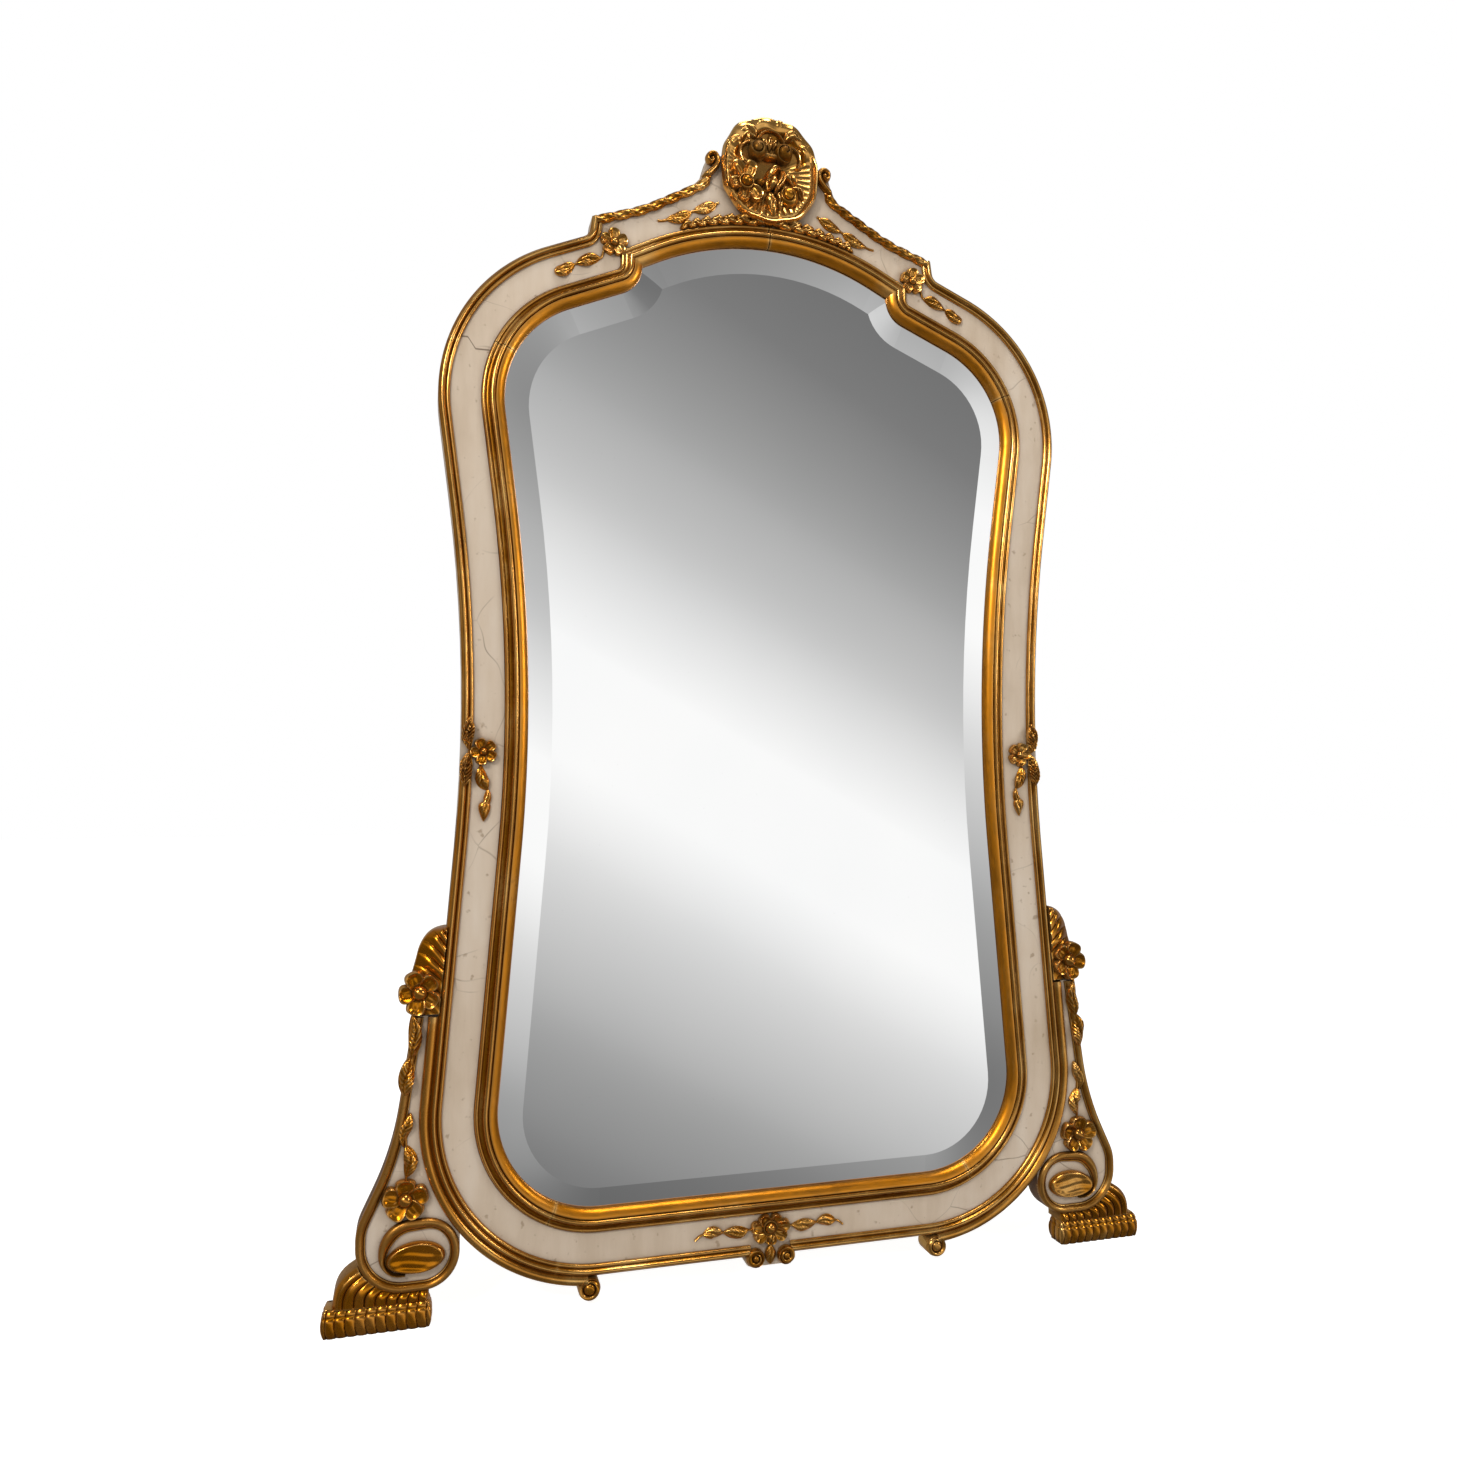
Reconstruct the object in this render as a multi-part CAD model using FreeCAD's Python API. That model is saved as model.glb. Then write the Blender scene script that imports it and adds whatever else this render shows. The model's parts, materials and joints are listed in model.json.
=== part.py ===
import FreeCAD, Part
import math
import os

# Overmantel mirror on scroll consoles, in millimetres.
# X runs to the right seen from the front, Z up, and the front faces -Y. The left half is modelled
# and mirrored. A "height" is measured forwards from the painted flat, so it is negative behind it.

Vector = FreeCAD.Vector

# Opening that shows the glass, left half: distances from the axis. The frame's bottom edge lies a
# lift above the shelf, and each level above the opening's bottom is a rise from the one before.
frame_lift = 36.0
lower_half_width = 371.0
lower_radius = 130.0
waist_inset = 57.0
waist_rise = 690.0
waist_bend = 234.0
shoulder_outset = 58.0
shoulder_rise = 446.0
shoulder_radius = 140.0
bump_rise = 81.5
bump_radius = 39.0
spring_straight = 0.6
arch_half_width = 178.5
arch_slope = 26.5
arch_straight = 25.45

# Section of the frame
frame_width = 84.0
frame_depth = 32.0
sight_width = 30.0
sight_seat = 4.0
edge_width = 15.0
rope_width = 13.0
glue_gap = 0.3
seat_clearance = 0.3

# Outer line of the top: horn, slope under the rope, and the tab behind the crest. The horn rises
# from the arch's spring, and what is above it from the horn.
horn_outset = 68.5
horn_rise = 60.0
horn_cove = 3.5
horn_cove_radius = 14.0
rope_bend_in = 67.0
rope_bend_rise = 23.0
rope_bend_radius = 250.0
rope_turn_out = 12.0
rope_turn_rise = 69.0
rope_turn_radius = 45.0
ear_half_width = 86.0
ear_rise = 110.0
tab_half_width = 62.0
tab_radius = 50.0
tab_side = 4.0

# Joints between the members
scarf_drop = 13.0
scarf_step = 15.0
scarf_slant = 10.0
bottom_joint = 287.0
dowel_radius = 4.0
dowel_clearance = 0.15
dowel_end_clearance = 1.0

# Plate, glazing and back
plate_lap = 9.0
plate_drop = 6.0
plate_thickness = 6.0
bevel_width = 40.0
bevel_depth = 3.0
rebate_clearance = 1.5
back_rebate_width = 26.0
back_rebate_depth = 10.0
board_clearance = 1.0
board_gap = 1.5
lower_board_drop = 290.0
upper_board_rise = 120.0
board_screw_inset = 30.0
block_size = (40.0, 10.0)
screw_shank = 1.75
screw_head = 3.6
screw_length = 18.0
screw_clearance = 0.2
spacer_size = (36.0, 36.0)
spacer_thickness = 12.0
spacer_drop_shoulder = 66.0
spacer_drop_waist = 130.0
spacer_rise_bottom = 120.0

# Bottom centre: tab and its pair of volutes
drop_half_width = 35.0
drop_depth = 14.0
drop_radius = 10.0
volute_x = 21.5
volute_rise = 12.5
volute_radius = 12.0
volute_height = 9.0

# Base scroll outside the lower corner
strap_width = 12.0
strap_height = 4.0
strap_back = 26.0
base_x = 243.0
base_drop = 15.5
base_radius = 14.5

# Console: heel tucked under the frame's corner, outer line from the top, volute rim and eye
heel_tuck = 50.0
console_width = 124.0
console_lift = 11.0
console_rise = 334.0
console_lean = 65.5
console_bend_in = 41.0
console_bend_rise = 168.0
console_bend_radius = 350.0
console_bulge_side = 22.0
console_bulge_radius = 60.0
console_outer_radius = 58.0
console_inner_radius = 44.0
console_depth = 28.0
rim_width = 12.0
rim_height = 6.0
rim_straight = 1.0
rim_turn_width = 98.0
rim_turn_radius = 36.0
rim_end = 3.0
eye_in = 50.0
eye_rise = 42.0
eye_size = (30.0, 17.0)
eye_height = 9.0
head_rise = 108.0
head_height = 6.0
head_depth = 24.0

# Feet: a block that reaches past the console on the outside, on a wider pad with a plain heel behind it
foot_front = 8.0
pad_depth = 34.0
heel_inset = 16.0
pad_toe = 12.0
pad_heel = 4.0
pad_height = 33.0
pad_radius = 8.0
block_toe = 27.0
block_heel = 36.0
block_front = 4.0
block_rise = 40.0

# Crest shell
shell_half_width = 71.0
shell_lift = 32.0
shell_height = 152.0
shell_thickness = 9.0
shell_rim_width = 9.0
shell_rim_height = 18.0
scroll_rise = 18.0
ear_scroll_radius = 11.0

# Relief of the applied carving
flower_relief = 6.0
boss_relief = 9.0
leaf_relief = 4.5
stem_width = 4.0
stem_relief = 2.2

# Hangers on the back
hanger_drop = 136.0
hanger_plate_size = (18.0, 54.0, 2.0)
ring_wire = 2.0
ring_half_width = 14.0
ring_drop = 24.0
knuckle_wall = 1.5
knuckle_length = 14.0
pin_clearance = 0.08

# Levels above the shelf, and lines that follow from the sizes
waist_half_width = lower_half_width - waist_inset
shoulder_half_width = waist_half_width + shoulder_outset
horn_half_width = arch_half_width + horn_outset
sight_bottom = frame_lift + frame_width
waist_z = sight_bottom + waist_rise
shoulder_z = waist_z + shoulder_rise
bump_z = shoulder_z + bump_rise
bump_turn = math.atan2(shoulder_half_width - arch_half_width, bump_rise)
spring_z = bump_z + bump_radius * math.tan(bump_turn / 2) + spring_straight
slope_angle = math.radians(arch_slope)
apex_z = spring_z + arch_half_width * math.tan(slope_angle)
arch_radius = (arch_half_width / math.cos(slope_angle) - arch_straight) / math.tan(slope_angle)
arch_centre = apex_z - arch_radius / math.cos(slope_angle)
waist_turn = math.atan2(shoulder_outset, shoulder_rise) + math.atan2(waist_inset, waist_rise)
waist_radius = waist_bend / math.tan(waist_turn / 2)
horn_top = spring_z + horn_rise
ear_top = horn_top + ear_rise
tab_top = ear_top + tab_radius + tab_side
drop_bottom = frame_lift - drop_depth
shell_bottom = arch_centre + arch_radius + shell_lift
shell_top = shell_bottom + shell_height
console_heel = lower_half_width + frame_width - heel_tuck
console_bulge = console_heel + console_width
console_bottom = pad_height + console_lift
console_bulge_z = console_bottom + console_outer_radius + console_bulge_side
console_top = (console_bulge - console_lean, console_bottom + console_rise)
rim_top_radius = console_inner_radius - 2.0
rim_over_top = console_bottom + console_inner_radius + rim_top_radius + rim_straight
rim_inner_turn = console_heel + rim_turn_width
block_outer = console_bulge + block_toe
block_inner = console_heel + block_heel
pad_outer = block_outer + pad_toe
pad_inner = block_inner - pad_heel

# The whole depth is centred on the origin
depth_behind = frame_depth + spacer_thickness
front_reach = shell_thickness + scroll_rise
flat_y = (front_reach - depth_behind) / 2.0
reach = 60.0
far = 2000.0

os.makedirs("parts", exist_ok=True)


def level(height):
    """The Y of a height in front of the painted flat."""
    return flat_y - height


def direction(start, end):
    dx = end[0] - start[0]
    dz = end[1] - start[1]
    length = math.hypot(dx, dz)
    return dx / length, dz / length


def outward(run):
    """The normal on the right of a run; outlines go anticlockwise seen from the front."""
    return run[1], -run[0]


def moved(corners, distance):
    """A closed outline with every run moved outwards; outer corners grow and inner corners shrink."""
    result = []
    count = len(corners)
    for i in range(count):
        x, z, radius = corners[i]
        run_in = direction(corners[i - 1], corners[i])
        run_out = direction(corners[i], corners[(i + 1) % count])
        a = outward(run_in)
        b = outward(run_out)
        scale = distance / (1.0 + a[0] * b[0] + a[1] * b[1])
        turn = run_in[0] * run_out[1] - run_in[1] * run_out[0]
        if radius > 0:
            radius = radius + distance if turn > 0 else radius - distance
        result.append((x + (a[0] + b[0]) * scale, z + (a[1] + b[1]) * scale, radius))
    return result


def lowered(corners, drop):
    return [(x, z - drop, radius) for x, z, radius in corners]


def both_sides(left):
    """Closed outline from its left half, which starts at the top and ends at the bottom."""
    return left + [(-x, z, radius) for x, z, radius in reversed(left)]


def pieces_of(corners, closed):
    """Straight and round pieces of an outline: (start, end, centre or None, signed angle)."""
    count = len(corners)
    tangents = []
    for i in range(count):
        x, z, radius = corners[i]
        inner = closed or 0 < i < count - 1
        if not inner or radius <= 0:
            tangents.append(((x, z), (x, z), None, 0.0))
            continue
        run_in = direction(corners[i - 1], corners[i])
        run_out = direction(corners[i], corners[(i + 1) % count])
        turn = math.atan2(
            run_in[0] * run_out[1] - run_in[1] * run_out[0],
            run_in[0] * run_out[0] + run_in[1] * run_out[1],
        )
        length = radius * math.tan(abs(turn) / 2.0)
        start = (x - run_in[0] * length, z - run_in[1] * length)
        end = (x + run_out[0] * length, z + run_out[1] * length)
        normal = outward(run_in)
        side = -radius if turn > 0 else radius
        centre = (start[0] + normal[0] * side, start[1] + normal[1] * side)
        tangents.append((start, end, centre, turn))
    result = []
    for i in range(count):
        start, end, centre, turn = tangents[i]
        if centre is not None:
            result.append((start, end, centre, turn))
        if closed or i < count - 1:
            following = tangents[(i + 1) % count][0]
            if math.dist(end, following) > 1e-4:
                result.append((end, following, None, 0.0))
    return result


def turned(point, centre, angle):
    dx = point[0] - centre[0]
    dz = point[1] - centre[1]
    c = math.cos(angle)
    s = math.sin(angle)
    return centre[0] + dx * c - dz * s, centre[1] + dx * s + dz * c


def face_of(corners, height):
    edges = []
    y = level(height)
    for start, end, centre, turn in pieces_of(corners, True):
        a = Vector(start[0], y, start[1])
        b = Vector(end[0], y, end[1])
        if centre is None:
            edges.append(Part.makeLine(a, b))
        else:
            mid = turned(start, centre, turn / 2.0)
            edges.append(Part.Arc(a, Vector(mid[0], y, mid[1]), b).toShape())
    return Part.Face(Part.Wire(edges))


def slab(corners, front, back):
    """The outline filled from one height back to another."""
    return face_of(corners, front).extrude(Vector(0, front - back, 0))


def polygon_slab(points, front, back):
    return slab([(x, z, 0.0) for x, z in points], front, back)


def profile_face(profile, point, run):
    """A section across a run. An item is (distance, height), or two such pairs for an arc."""
    normal = outward(run)

    def place(distance, height):
        return Vector(point[0] + normal[0] * distance, level(height), point[1] + normal[1] * distance)

    edges = []
    here = place(*profile[-1][-2:])
    for item in profile:
        there = place(*item[-2:])
        if len(item) == 4:
            edges.append(Part.Arc(here, place(*item[:2]), there).toShape())
        else:
            edges.append(Part.makeLine(here, there))
        here = there
    return Part.Face(Part.Wire(edges))


def joined(shapes):
    shapes = list(shapes)
    if len(shapes) == 1:
        return shapes[0]
    return shapes[0].multiFuse(shapes[1:]).removeSplitter()


def swept_pieces(corners, profile, closed=False):
    """The section carried along each piece of an outline."""
    solids = []
    for start, end, centre, turn in pieces_of(corners, closed):
        if centre is None:
            section = profile_face(profile, start, direction(start, end))
            solids.append(section.extrude(Vector(end[0] - start[0], 0, end[1] - start[1])))
        else:
            spoke = direction(centre, start)
            run = (-spoke[1], spoke[0]) if turn > 0 else (spoke[1], -spoke[0])
            section = profile_face(profile, start, run)
            axis = Vector(0, -1, 0) if turn > 0 else Vector(0, 1, 0)
            base = Vector(centre[0], 0, centre[1])
            solids.append(section.revolve(base, axis, math.degrees(abs(turn))))
    return solids


def swept(corners, profile, closed=False):
    return joined(swept_pieces(corners, profile, closed))


def lengthened(corners, at_start, at_end):
    """An open run with its end points pulled further out along their runs."""
    result = list(corners)
    if at_start:
        run = direction(corners[1], corners[0])
        result[0] = (corners[0][0] + run[0] * at_start, corners[0][1] + run[1] * at_start, 0.0)
    if at_end:
        run = direction(corners[-2], corners[-1])
        result[-1] = (corners[-1][0] + run[0] * at_end, corners[-1][1] + run[1] * at_end, 0.0)
    return result


def mitre_line(before, corner, after):
    """Direction of the mitre at a sharp corner."""
    a = outward(direction(before, corner))
    b = outward(direction(corner, after))
    return direction((0, 0), (a[0] + b[0], a[1] + b[1]))


def along(point, run, distance):
    return point[0] + run[0] * distance, point[1] + run[1] * distance


def mirrored(shape):
    return shape.mirror(Vector(0, 0, 0), Vector(1, 0, 0))


def rod(start, end, radius):
    axis = end - start
    return Part.makeCylinder(radius, axis.Length, start, axis)


def dome(x, z, radius, base, rise):
    """Cap of a sphere that stands on the base height, with this radius there and this rise."""
    ball = (radius * radius + rise * rise) / (2.0 * rise)
    below = math.degrees(math.asin((ball - rise) / ball))
    centre = Vector(x, level(base + rise - ball), z)
    return Part.makeSphere(ball, centre, Vector(0, -1, 0), below, 90, 360)


def flower(x, z, radius, base, petals=5, first=90.0):
    """Domed petals round a boss, flat at the back."""
    caps = [dome(x, z, radius * 0.3, base, boss_relief)]
    for i in range(petals):
        angle = math.radians(first + 360.0 * i / petals)
        px = x + radius * 0.56 * math.cos(angle)
        pz = z + radius * 0.56 * math.sin(angle)
        caps.append(dome(px, pz, radius * 0.44, base, flower_relief))
    return joined(caps)


def leaf(start, end, width, base, relief=leaf_relief):
    """Pointed leaf from one tip to the other, crowned along its middle and flat at the back."""
    length = math.dist(start, end)
    run = direction(start, end)
    normal = outward(run)
    mid = ((start[0] + end[0]) / 2.0, (start[1] + end[1]) / 2.0)
    radius = (length * length / 4.0 + width * width / 4.0) / width
    sides = []
    for side in (1.0, -1.0):
        centre = along(mid, normal, side * (radius - width / 2.0))
        sides.append(Part.makeCylinder(
            radius, relief * 2.0, Vector(centre[0], level(base + relief * 2.0), centre[1]), Vector(0, 1, 0)))
    crown = (width * width / 4.0 + relief * relief) / (2.0 * relief)
    low = along(start, run, -width)
    high = along(end, run, width)
    y = level(base + relief - crown)
    top = rod(Vector(low[0], y, low[1]), Vector(high[0], y, high[1]), crown)
    return sides[0].common(sides[1]).common(top)


def stem(start, end, base):
    """Flat stalk that ties leaves and flower together."""
    normal = outward(direction(start, end))
    half = stem_width / 2
    one_side = [along(start, normal, half), along(end, normal, half)]
    other_side = [along(end, normal, -half), along(start, normal, -half)]
    return polygon_slab(one_side + other_side, base + stem_relief, base)


def disc(x, z, radius, front, back):
    return Part.makeCylinder(radius, front - back, Vector(x, level(front), z), Vector(0, 1, 0))


def save(name, shape):
    shape.exportStep("parts/" + name + ".step")


def save_pair(name, shape):
    save(name + "_left", shape)
    save(name + "_right", mirrored(shape))


# Outline of the opening, and the line of the frame's outer edge
spring = (-arch_half_width, spring_z, 0.0)
bump = (-arch_half_width, bump_z, bump_radius)
shoulder = (-shoulder_half_width, shoulder_z, shoulder_radius)
waist = (-waist_half_width, waist_z, waist_radius)
lower = (-lower_half_width, sight_bottom, lower_radius)
side_run = [spring, bump, shoulder, waist, lower]
right_run = [(-x, z, radius) for x, z, radius in reversed(side_run)]
apex = (0.0, apex_z, arch_radius)
sight = [apex] + side_run + right_run

outer_shoulder, outer_waist, outer_lower = moved(sight, frame_width)[3:6]
slope_run = direction(bump, shoulder)
cove_x = -(horn_half_width + horn_cove)
cove_z = outer_shoulder[1] + (cove_x - outer_shoulder[0]) * slope_run[1] / slope_run[0]
horn = (-horn_half_width, horn_top, 0.0)
cove = (cove_x, cove_z, horn_cove_radius)
rise = (-ear_half_width - rope_turn_out, horn_top + rope_turn_rise, rope_turn_radius)
bend = (-horn_half_width + rope_bend_in, horn_top + rope_bend_rise, rope_bend_radius)
ear = (-ear_half_width, ear_top, 0.0)
top_half = [
    (-tab_half_width, tab_top, tab_radius),
    (-tab_half_width, ear_top, 0.0),
    ear, rise, bend, horn, cove,
]
side_half = [outer_shoulder, outer_waist, outer_lower]
drop_half = [
    (-drop_half_width, frame_lift, 0.0),
    (-drop_half_width, drop_bottom, drop_radius),
]
outer = both_sides(top_half + side_half + drop_half)

def point_at_height(corners, z):
    """Where the left side of an outline crosses a level."""
    for start, end, centre, turn in pieces_of(corners, True):
        low, high = sorted((start[1], end[1]))
        if start[0] > 0 or not low <= z <= high:
            continue
        if centre is None:
            return start[0] + (end[0] - start[0]) * (z - start[1]) / (end[1] - start[1])
        radius = math.dist(start, centre)
        half = math.sqrt(radius * radius - (z - centre[1]) ** 2)
        return centre[0] + (half if centre[0] < start[0] else -half)
    raise ValueError(z)


# Regions that part the members
scarf_outer_z = shoulder_z - scarf_drop
scarf_inner_z = scarf_outer_z - scarf_step
scarf_mid = -(point_at_height(sight, scarf_outer_z) + point_at_height(outer, scarf_outer_z)) / 2
scarf_step_outer = scarf_mid + scarf_slant / 2
scarf_step_inner = scarf_mid - scarf_slant / 2
left_region = polygon_slab([(-far, 0), (0, 0), (0, far), (-far, far)], far, -far)
top_region = polygon_slab(
    [
        (-far, far), (-far, scarf_outer_z), (-scarf_step_outer, scarf_outer_z),
        (-scarf_step_inner, scarf_inner_z), (scarf_step_inner, scarf_inner_z),
        (scarf_step_outer, scarf_outer_z), (far, scarf_outer_z), (far, far),
    ], far, -far)
bottom_region = polygon_slab(
    [
        (-bottom_joint, 0), (bottom_joint, 0),
        (bottom_joint, waist_z / 2), (-bottom_joint, waist_z / 2),
    ], far, -far)

# Dowels: centre, half length and axis
rail_y = level(-14.0)
dowel_half = 24.0
dowels = [
    ((0.0, rail_y, shell_bottom + 31.0), (1, 0, 0)),
    ((0.0, rail_y, shell_bottom + 101.0), (1, 0, 0)),
]
side_dowels = [
    ((-scarf_mid - 12.0, rail_y, scarf_outer_z), (0, 0, 1)),
    ((-scarf_mid + 22.0, rail_y, scarf_inner_z), (0, 0, 1)),
    ((-bottom_joint, rail_y, frame_lift + 38.0), (1, 0, 0)),
    ((-bottom_joint, rail_y, frame_lift + 56.0), (1, 0, 0)),
    ((-console_heel - 92.0, rail_y, console_bottom + 4.0), (0, 0, 1)),
    ((-console_heel - 61.0, rail_y, console_bottom + 1.0), (0, 0, 1)),
]
for z in (console_top[1] - 88.0, console_top[1] - 193.0):
    side_dowels.append(((point_at_height(outer, z) - strap_width / 2, rail_y, z), (1, 0, 0)))
for (x, y, z), axis in side_dowels:
    dowels.append(((x, y, z), axis))
    dowels.append(((-x, y, z), axis))


def dowel(place, axis, radius, half):
    centre = Vector(*place)
    arm = Vector(*axis).multiply(half)
    return rod(centre - arm, centre + arm, radius)


pegs = [dowel(place, axis, dowel_radius, dowel_half) for place, axis in dowels]
peg_holes = Part.makeCompound([
    dowel(place, axis, dowel_radius + dowel_clearance, dowel_half + dowel_end_clearance)
    for place, axis in dowels
])

# Plate with its bevel; the plate hangs a little low in the rebate
plate_line = lowered(moved(sight, plate_lap), plate_drop)
bevel_slope = bevel_depth / bevel_width
plate_front = -sight_seat - seat_clearance + bevel_slope * (bevel_width - plate_lap - plate_drop)
plate_back = plate_front - plate_thickness
bevel_margin = 3.0
bevel_profile = [
    (-bevel_width, plate_front),
    (bevel_margin, plate_front - bevel_slope * (bevel_width + bevel_margin)),
    (bevel_margin, plate_front + bevel_margin),
    (-bevel_width, plate_front + bevel_margin),
]
plate = slab(plate_line, plate_front, plate_back)
for wedge in swept_pieces(plate_line, bevel_profile, closed=True):
    plate = plate.cut(wedge)

# Carcase: a ring with the moulding's seat in front, the glass rebate, and the back's rebate
rebate_line = moved(plate_line, rebate_clearance)
carcase = slab(outer, 0.0, -frame_depth)
carcase = carcase.cut(slab(rebate_line, 1.0, -frame_depth - 1.0))
carcase = carcase.cut(slab(moved(sight, sight_width + glue_gap), 1.0, -sight_seat))
back_floor = -frame_depth + back_rebate_depth
carcase = carcase.cut(slab(moved(sight, back_rebate_width), back_floor, -frame_depth - 1.0))

# Backboards with their screws round the edge
board_line = moved(sight, back_rebate_width - board_clearance)
board_whole = slab(board_line, back_floor, -frame_depth)
screw_inset = (plate_lap + rebate_clearance + back_rebate_width) / 2.0 + 1.0
screw_line = moved(sight, screw_inset)


board_joints = (waist_z - lower_board_drop, waist_z + upper_board_rise)
screw_limits = (sight_bottom + lower_radius * 0.4,) + board_joints + (shoulder_z - 26.0,)
screw_spots = []
for low, high in zip(screw_limits, screw_limits[1:]):
    low += board_screw_inset
    high -= board_screw_inset
    for z in (low, (low + high) / 2, high):
        x = point_at_height(screw_line, z)
        screw_spots.append((x, z))
        screw_spots.append((-x, z))
bottom_z = sight_bottom - screw_inset
bottom_screw_x = lower_half_width - lower_radius - 51.0
for x in (-bottom_screw_x, 0.0, bottom_screw_x):
    screw_spots.append((x, bottom_z))
for angle in (-20.0, 0.0, 20.0):
    turn = math.radians(angle)
    radius = arch_radius + screw_inset
    screw_spots.append((radius * math.sin(turn), arch_centre + radius * math.cos(turn)))


def screw(x, z, back, grow):
    """Countersunk screw driven forwards from a height at the back."""
    y = level(back)
    head = screw_head - screw_shank
    parts = [
        Part.makeCone(screw_head + grow, screw_shank + grow, head, Vector(x, y, z), Vector(0, -1, 0)),
        Part.makeCylinder(screw_shank + grow, screw_length + grow, Vector(x, y, z), Vector(0, -1, 0)),
    ]
    return joined(parts)


board_screws = [screw(x, z, -frame_depth, 0.0) for x, z in screw_spots]
board_screw_holes = Part.makeCompound([screw(x, z, -frame_depth, screw_clearance) for x, z in screw_spots])
boards = {}
edges = (0.0,) + board_joints + (far,)
for name, low, high in zip(("lower", "middle", "upper"), edges, edges[1:]):
    low += board_gap / 2
    high -= board_gap / 2
    window = polygon_slab([(-far, low), (far, low), (far, high), (-far, high)], far, -far)
    boards[name] = board_whole.common(window).cut(board_screw_holes)

# Glazing blocks behind the plate, against the rebate
block_length, block_width = block_size
block_front_height = plate_back - 0.3
block_back_height = back_floor + 0.3


def glazing_block(point, run):
    """Block along a run, just inside the rebate."""
    normal = outward(run)
    outer_side = -rebate_clearance
    corners = [
        along(along(point, run, -block_length / 2), normal, outer_side),
        along(along(point, run, -block_length / 2), normal, outer_side - block_width),
        along(along(point, run, block_length / 2), normal, outer_side - block_width),
        along(along(point, run, block_length / 2), normal, outer_side),
    ]
    return polygon_slab(corners[::-1], block_front_height, block_back_height)


blocks = []
for z in (sight_bottom + 180.0, waist_z - 290.0, waist_z - 50.0, waist_z + 200.0):
    x = point_at_height(rebate_line, z)
    ahead = point_at_height(rebate_line, z - 10.0)
    run = direction((x, z), (ahead, z - 10.0))
    block = glazing_block((x, z), run)
    blocks.append(block)
    blocks.append(mirrored(block))
rebate_bottom = rebate_line[5][1]
bottom_block_x = lower_half_width - lower_radius - 71.0
for x in (-bottom_block_x, 0.0, bottom_block_x):
    blocks.append(glazing_block((x, rebate_bottom), (1.0, 0.0)))
rebate_top = rebate_line[0][1] - rebate_line[0][2] * (1 / math.cos(slope_angle) - 1)
blocks.append(glazing_block((0.0, rebate_top - 0.6), (-1.0, 0.0)))

# Sight moulding: ovolo at the glass, bead, hollow, and a thin bead at the flat
sight_profile = [
    (0.0, -1.0),
    (3.2, 4.6, 11.0, 8.0),
    (12.3, 6.8),
    (15.6, 10.0, 18.9, 6.8),
    (20.7, 3.4, 24.2, 2.0),
    (26.6, 4.2, 29.0, 2.0),
    (sight_width, 0.0),
    (sight_width, -sight_seat),
    (0.0, -sight_seat),
]
spring_right = (-spring[0], spring[1], 0.0)
mitre_left = mitre_line(apex, spring, bump)
mitre_right = (-mitre_left[0], mitre_left[1])
arch_sector = polygon_slab(
    [
        along(spring, mitre_left, reach), along(spring, mitre_left, -reach),
        along(spring_right, mitre_right, -reach), along(spring_right, mitre_right, reach), (0.0, tab_top),
    ], far, -far)
arch_run = lengthened([spring_right, apex, spring], reach / 2, reach / 2)
arch_strip = swept(arch_run, sight_profile).common(arch_sector)
loop_run = lengthened(side_run + right_run, reach / 2, reach / 2)
side_strip = swept(loop_run, sight_profile).cut(arch_sector)

# Edge moulding: a bold outer bead and a thin inner one
edge_profile = [
    (-edge_width, 1.2),
    (-edge_width + 2.6, 4.1, -edge_width + 5.2, 2.6),
    (-5.7, 6.6, -1.6, 2.6),
    (0.0, 1.0),
    (0.0, 0.0),
    (-edge_width, 0.0),
]
volute_z = drop_bottom + volute_rise
edge_run = [horn, cove] + side_half + [(-volute_x - volute_radius * 0.6, frame_lift, 0.0)]
horn_mitre = mitre_line(bend, horn, cove)
edge_strip = swept(lengthened(edge_run, reach / 2, 0.0), edge_profile)
rope_side = polygon_slab(
    [
        along(horn, horn_mitre, reach), along(horn, horn_mitre, -reach),
        (0.0, horn[1] - reach), (0.0, tab_top), (horn[0], tab_top),
    ][::-1], far, -far)
edge_strip = edge_strip.cut(rope_side)
centre_scroll = disc(-volute_x, volute_z, volute_radius, volute_height, 0.0)
edge_strip = joined([edge_strip, centre_scroll])

# Rope moulding on the slope, ending in the ear scroll
rope_profile = [(-rope_width / 2, rope_width * 0.62, 0.0, 0.0), (-rope_width, 0.0)]
rope_run = [ear, rise, bend, horn]
rope_strip = swept(lengthened(rope_run, 0.0, reach / 2), rope_profile).common(rope_side)
ear_scroll = disc(-ear_half_width + 1.0, ear_top - 3.0, ear_scroll_radius, volute_height, 0.0)
rope_strip = joined([rope_strip, ear_scroll])

# Waist leaves take the place of the edge moulding at the flower
waist_level = waist_z - 102.0
waist_gap_low = waist_level - 42.0
waist_gap_high = waist_level + 36.0
waist_x = point_at_height(outer, waist_level) + edge_width / 2
waist_gap = polygon_slab(
    [(-far, waist_gap_low), (0, waist_gap_low), (0, waist_gap_high), (-far, waist_gap_high)], far, -far)
waist_leaves = Part.makeCompound([
    leaf((waist_x, waist_gap_low + 1), (waist_x, waist_level - 1), edge_width, 0.0, 6.0),
    leaf((waist_x, waist_level + 1), (waist_x, waist_gap_high - 1), edge_width, 0.0, 6.0),
])

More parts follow.
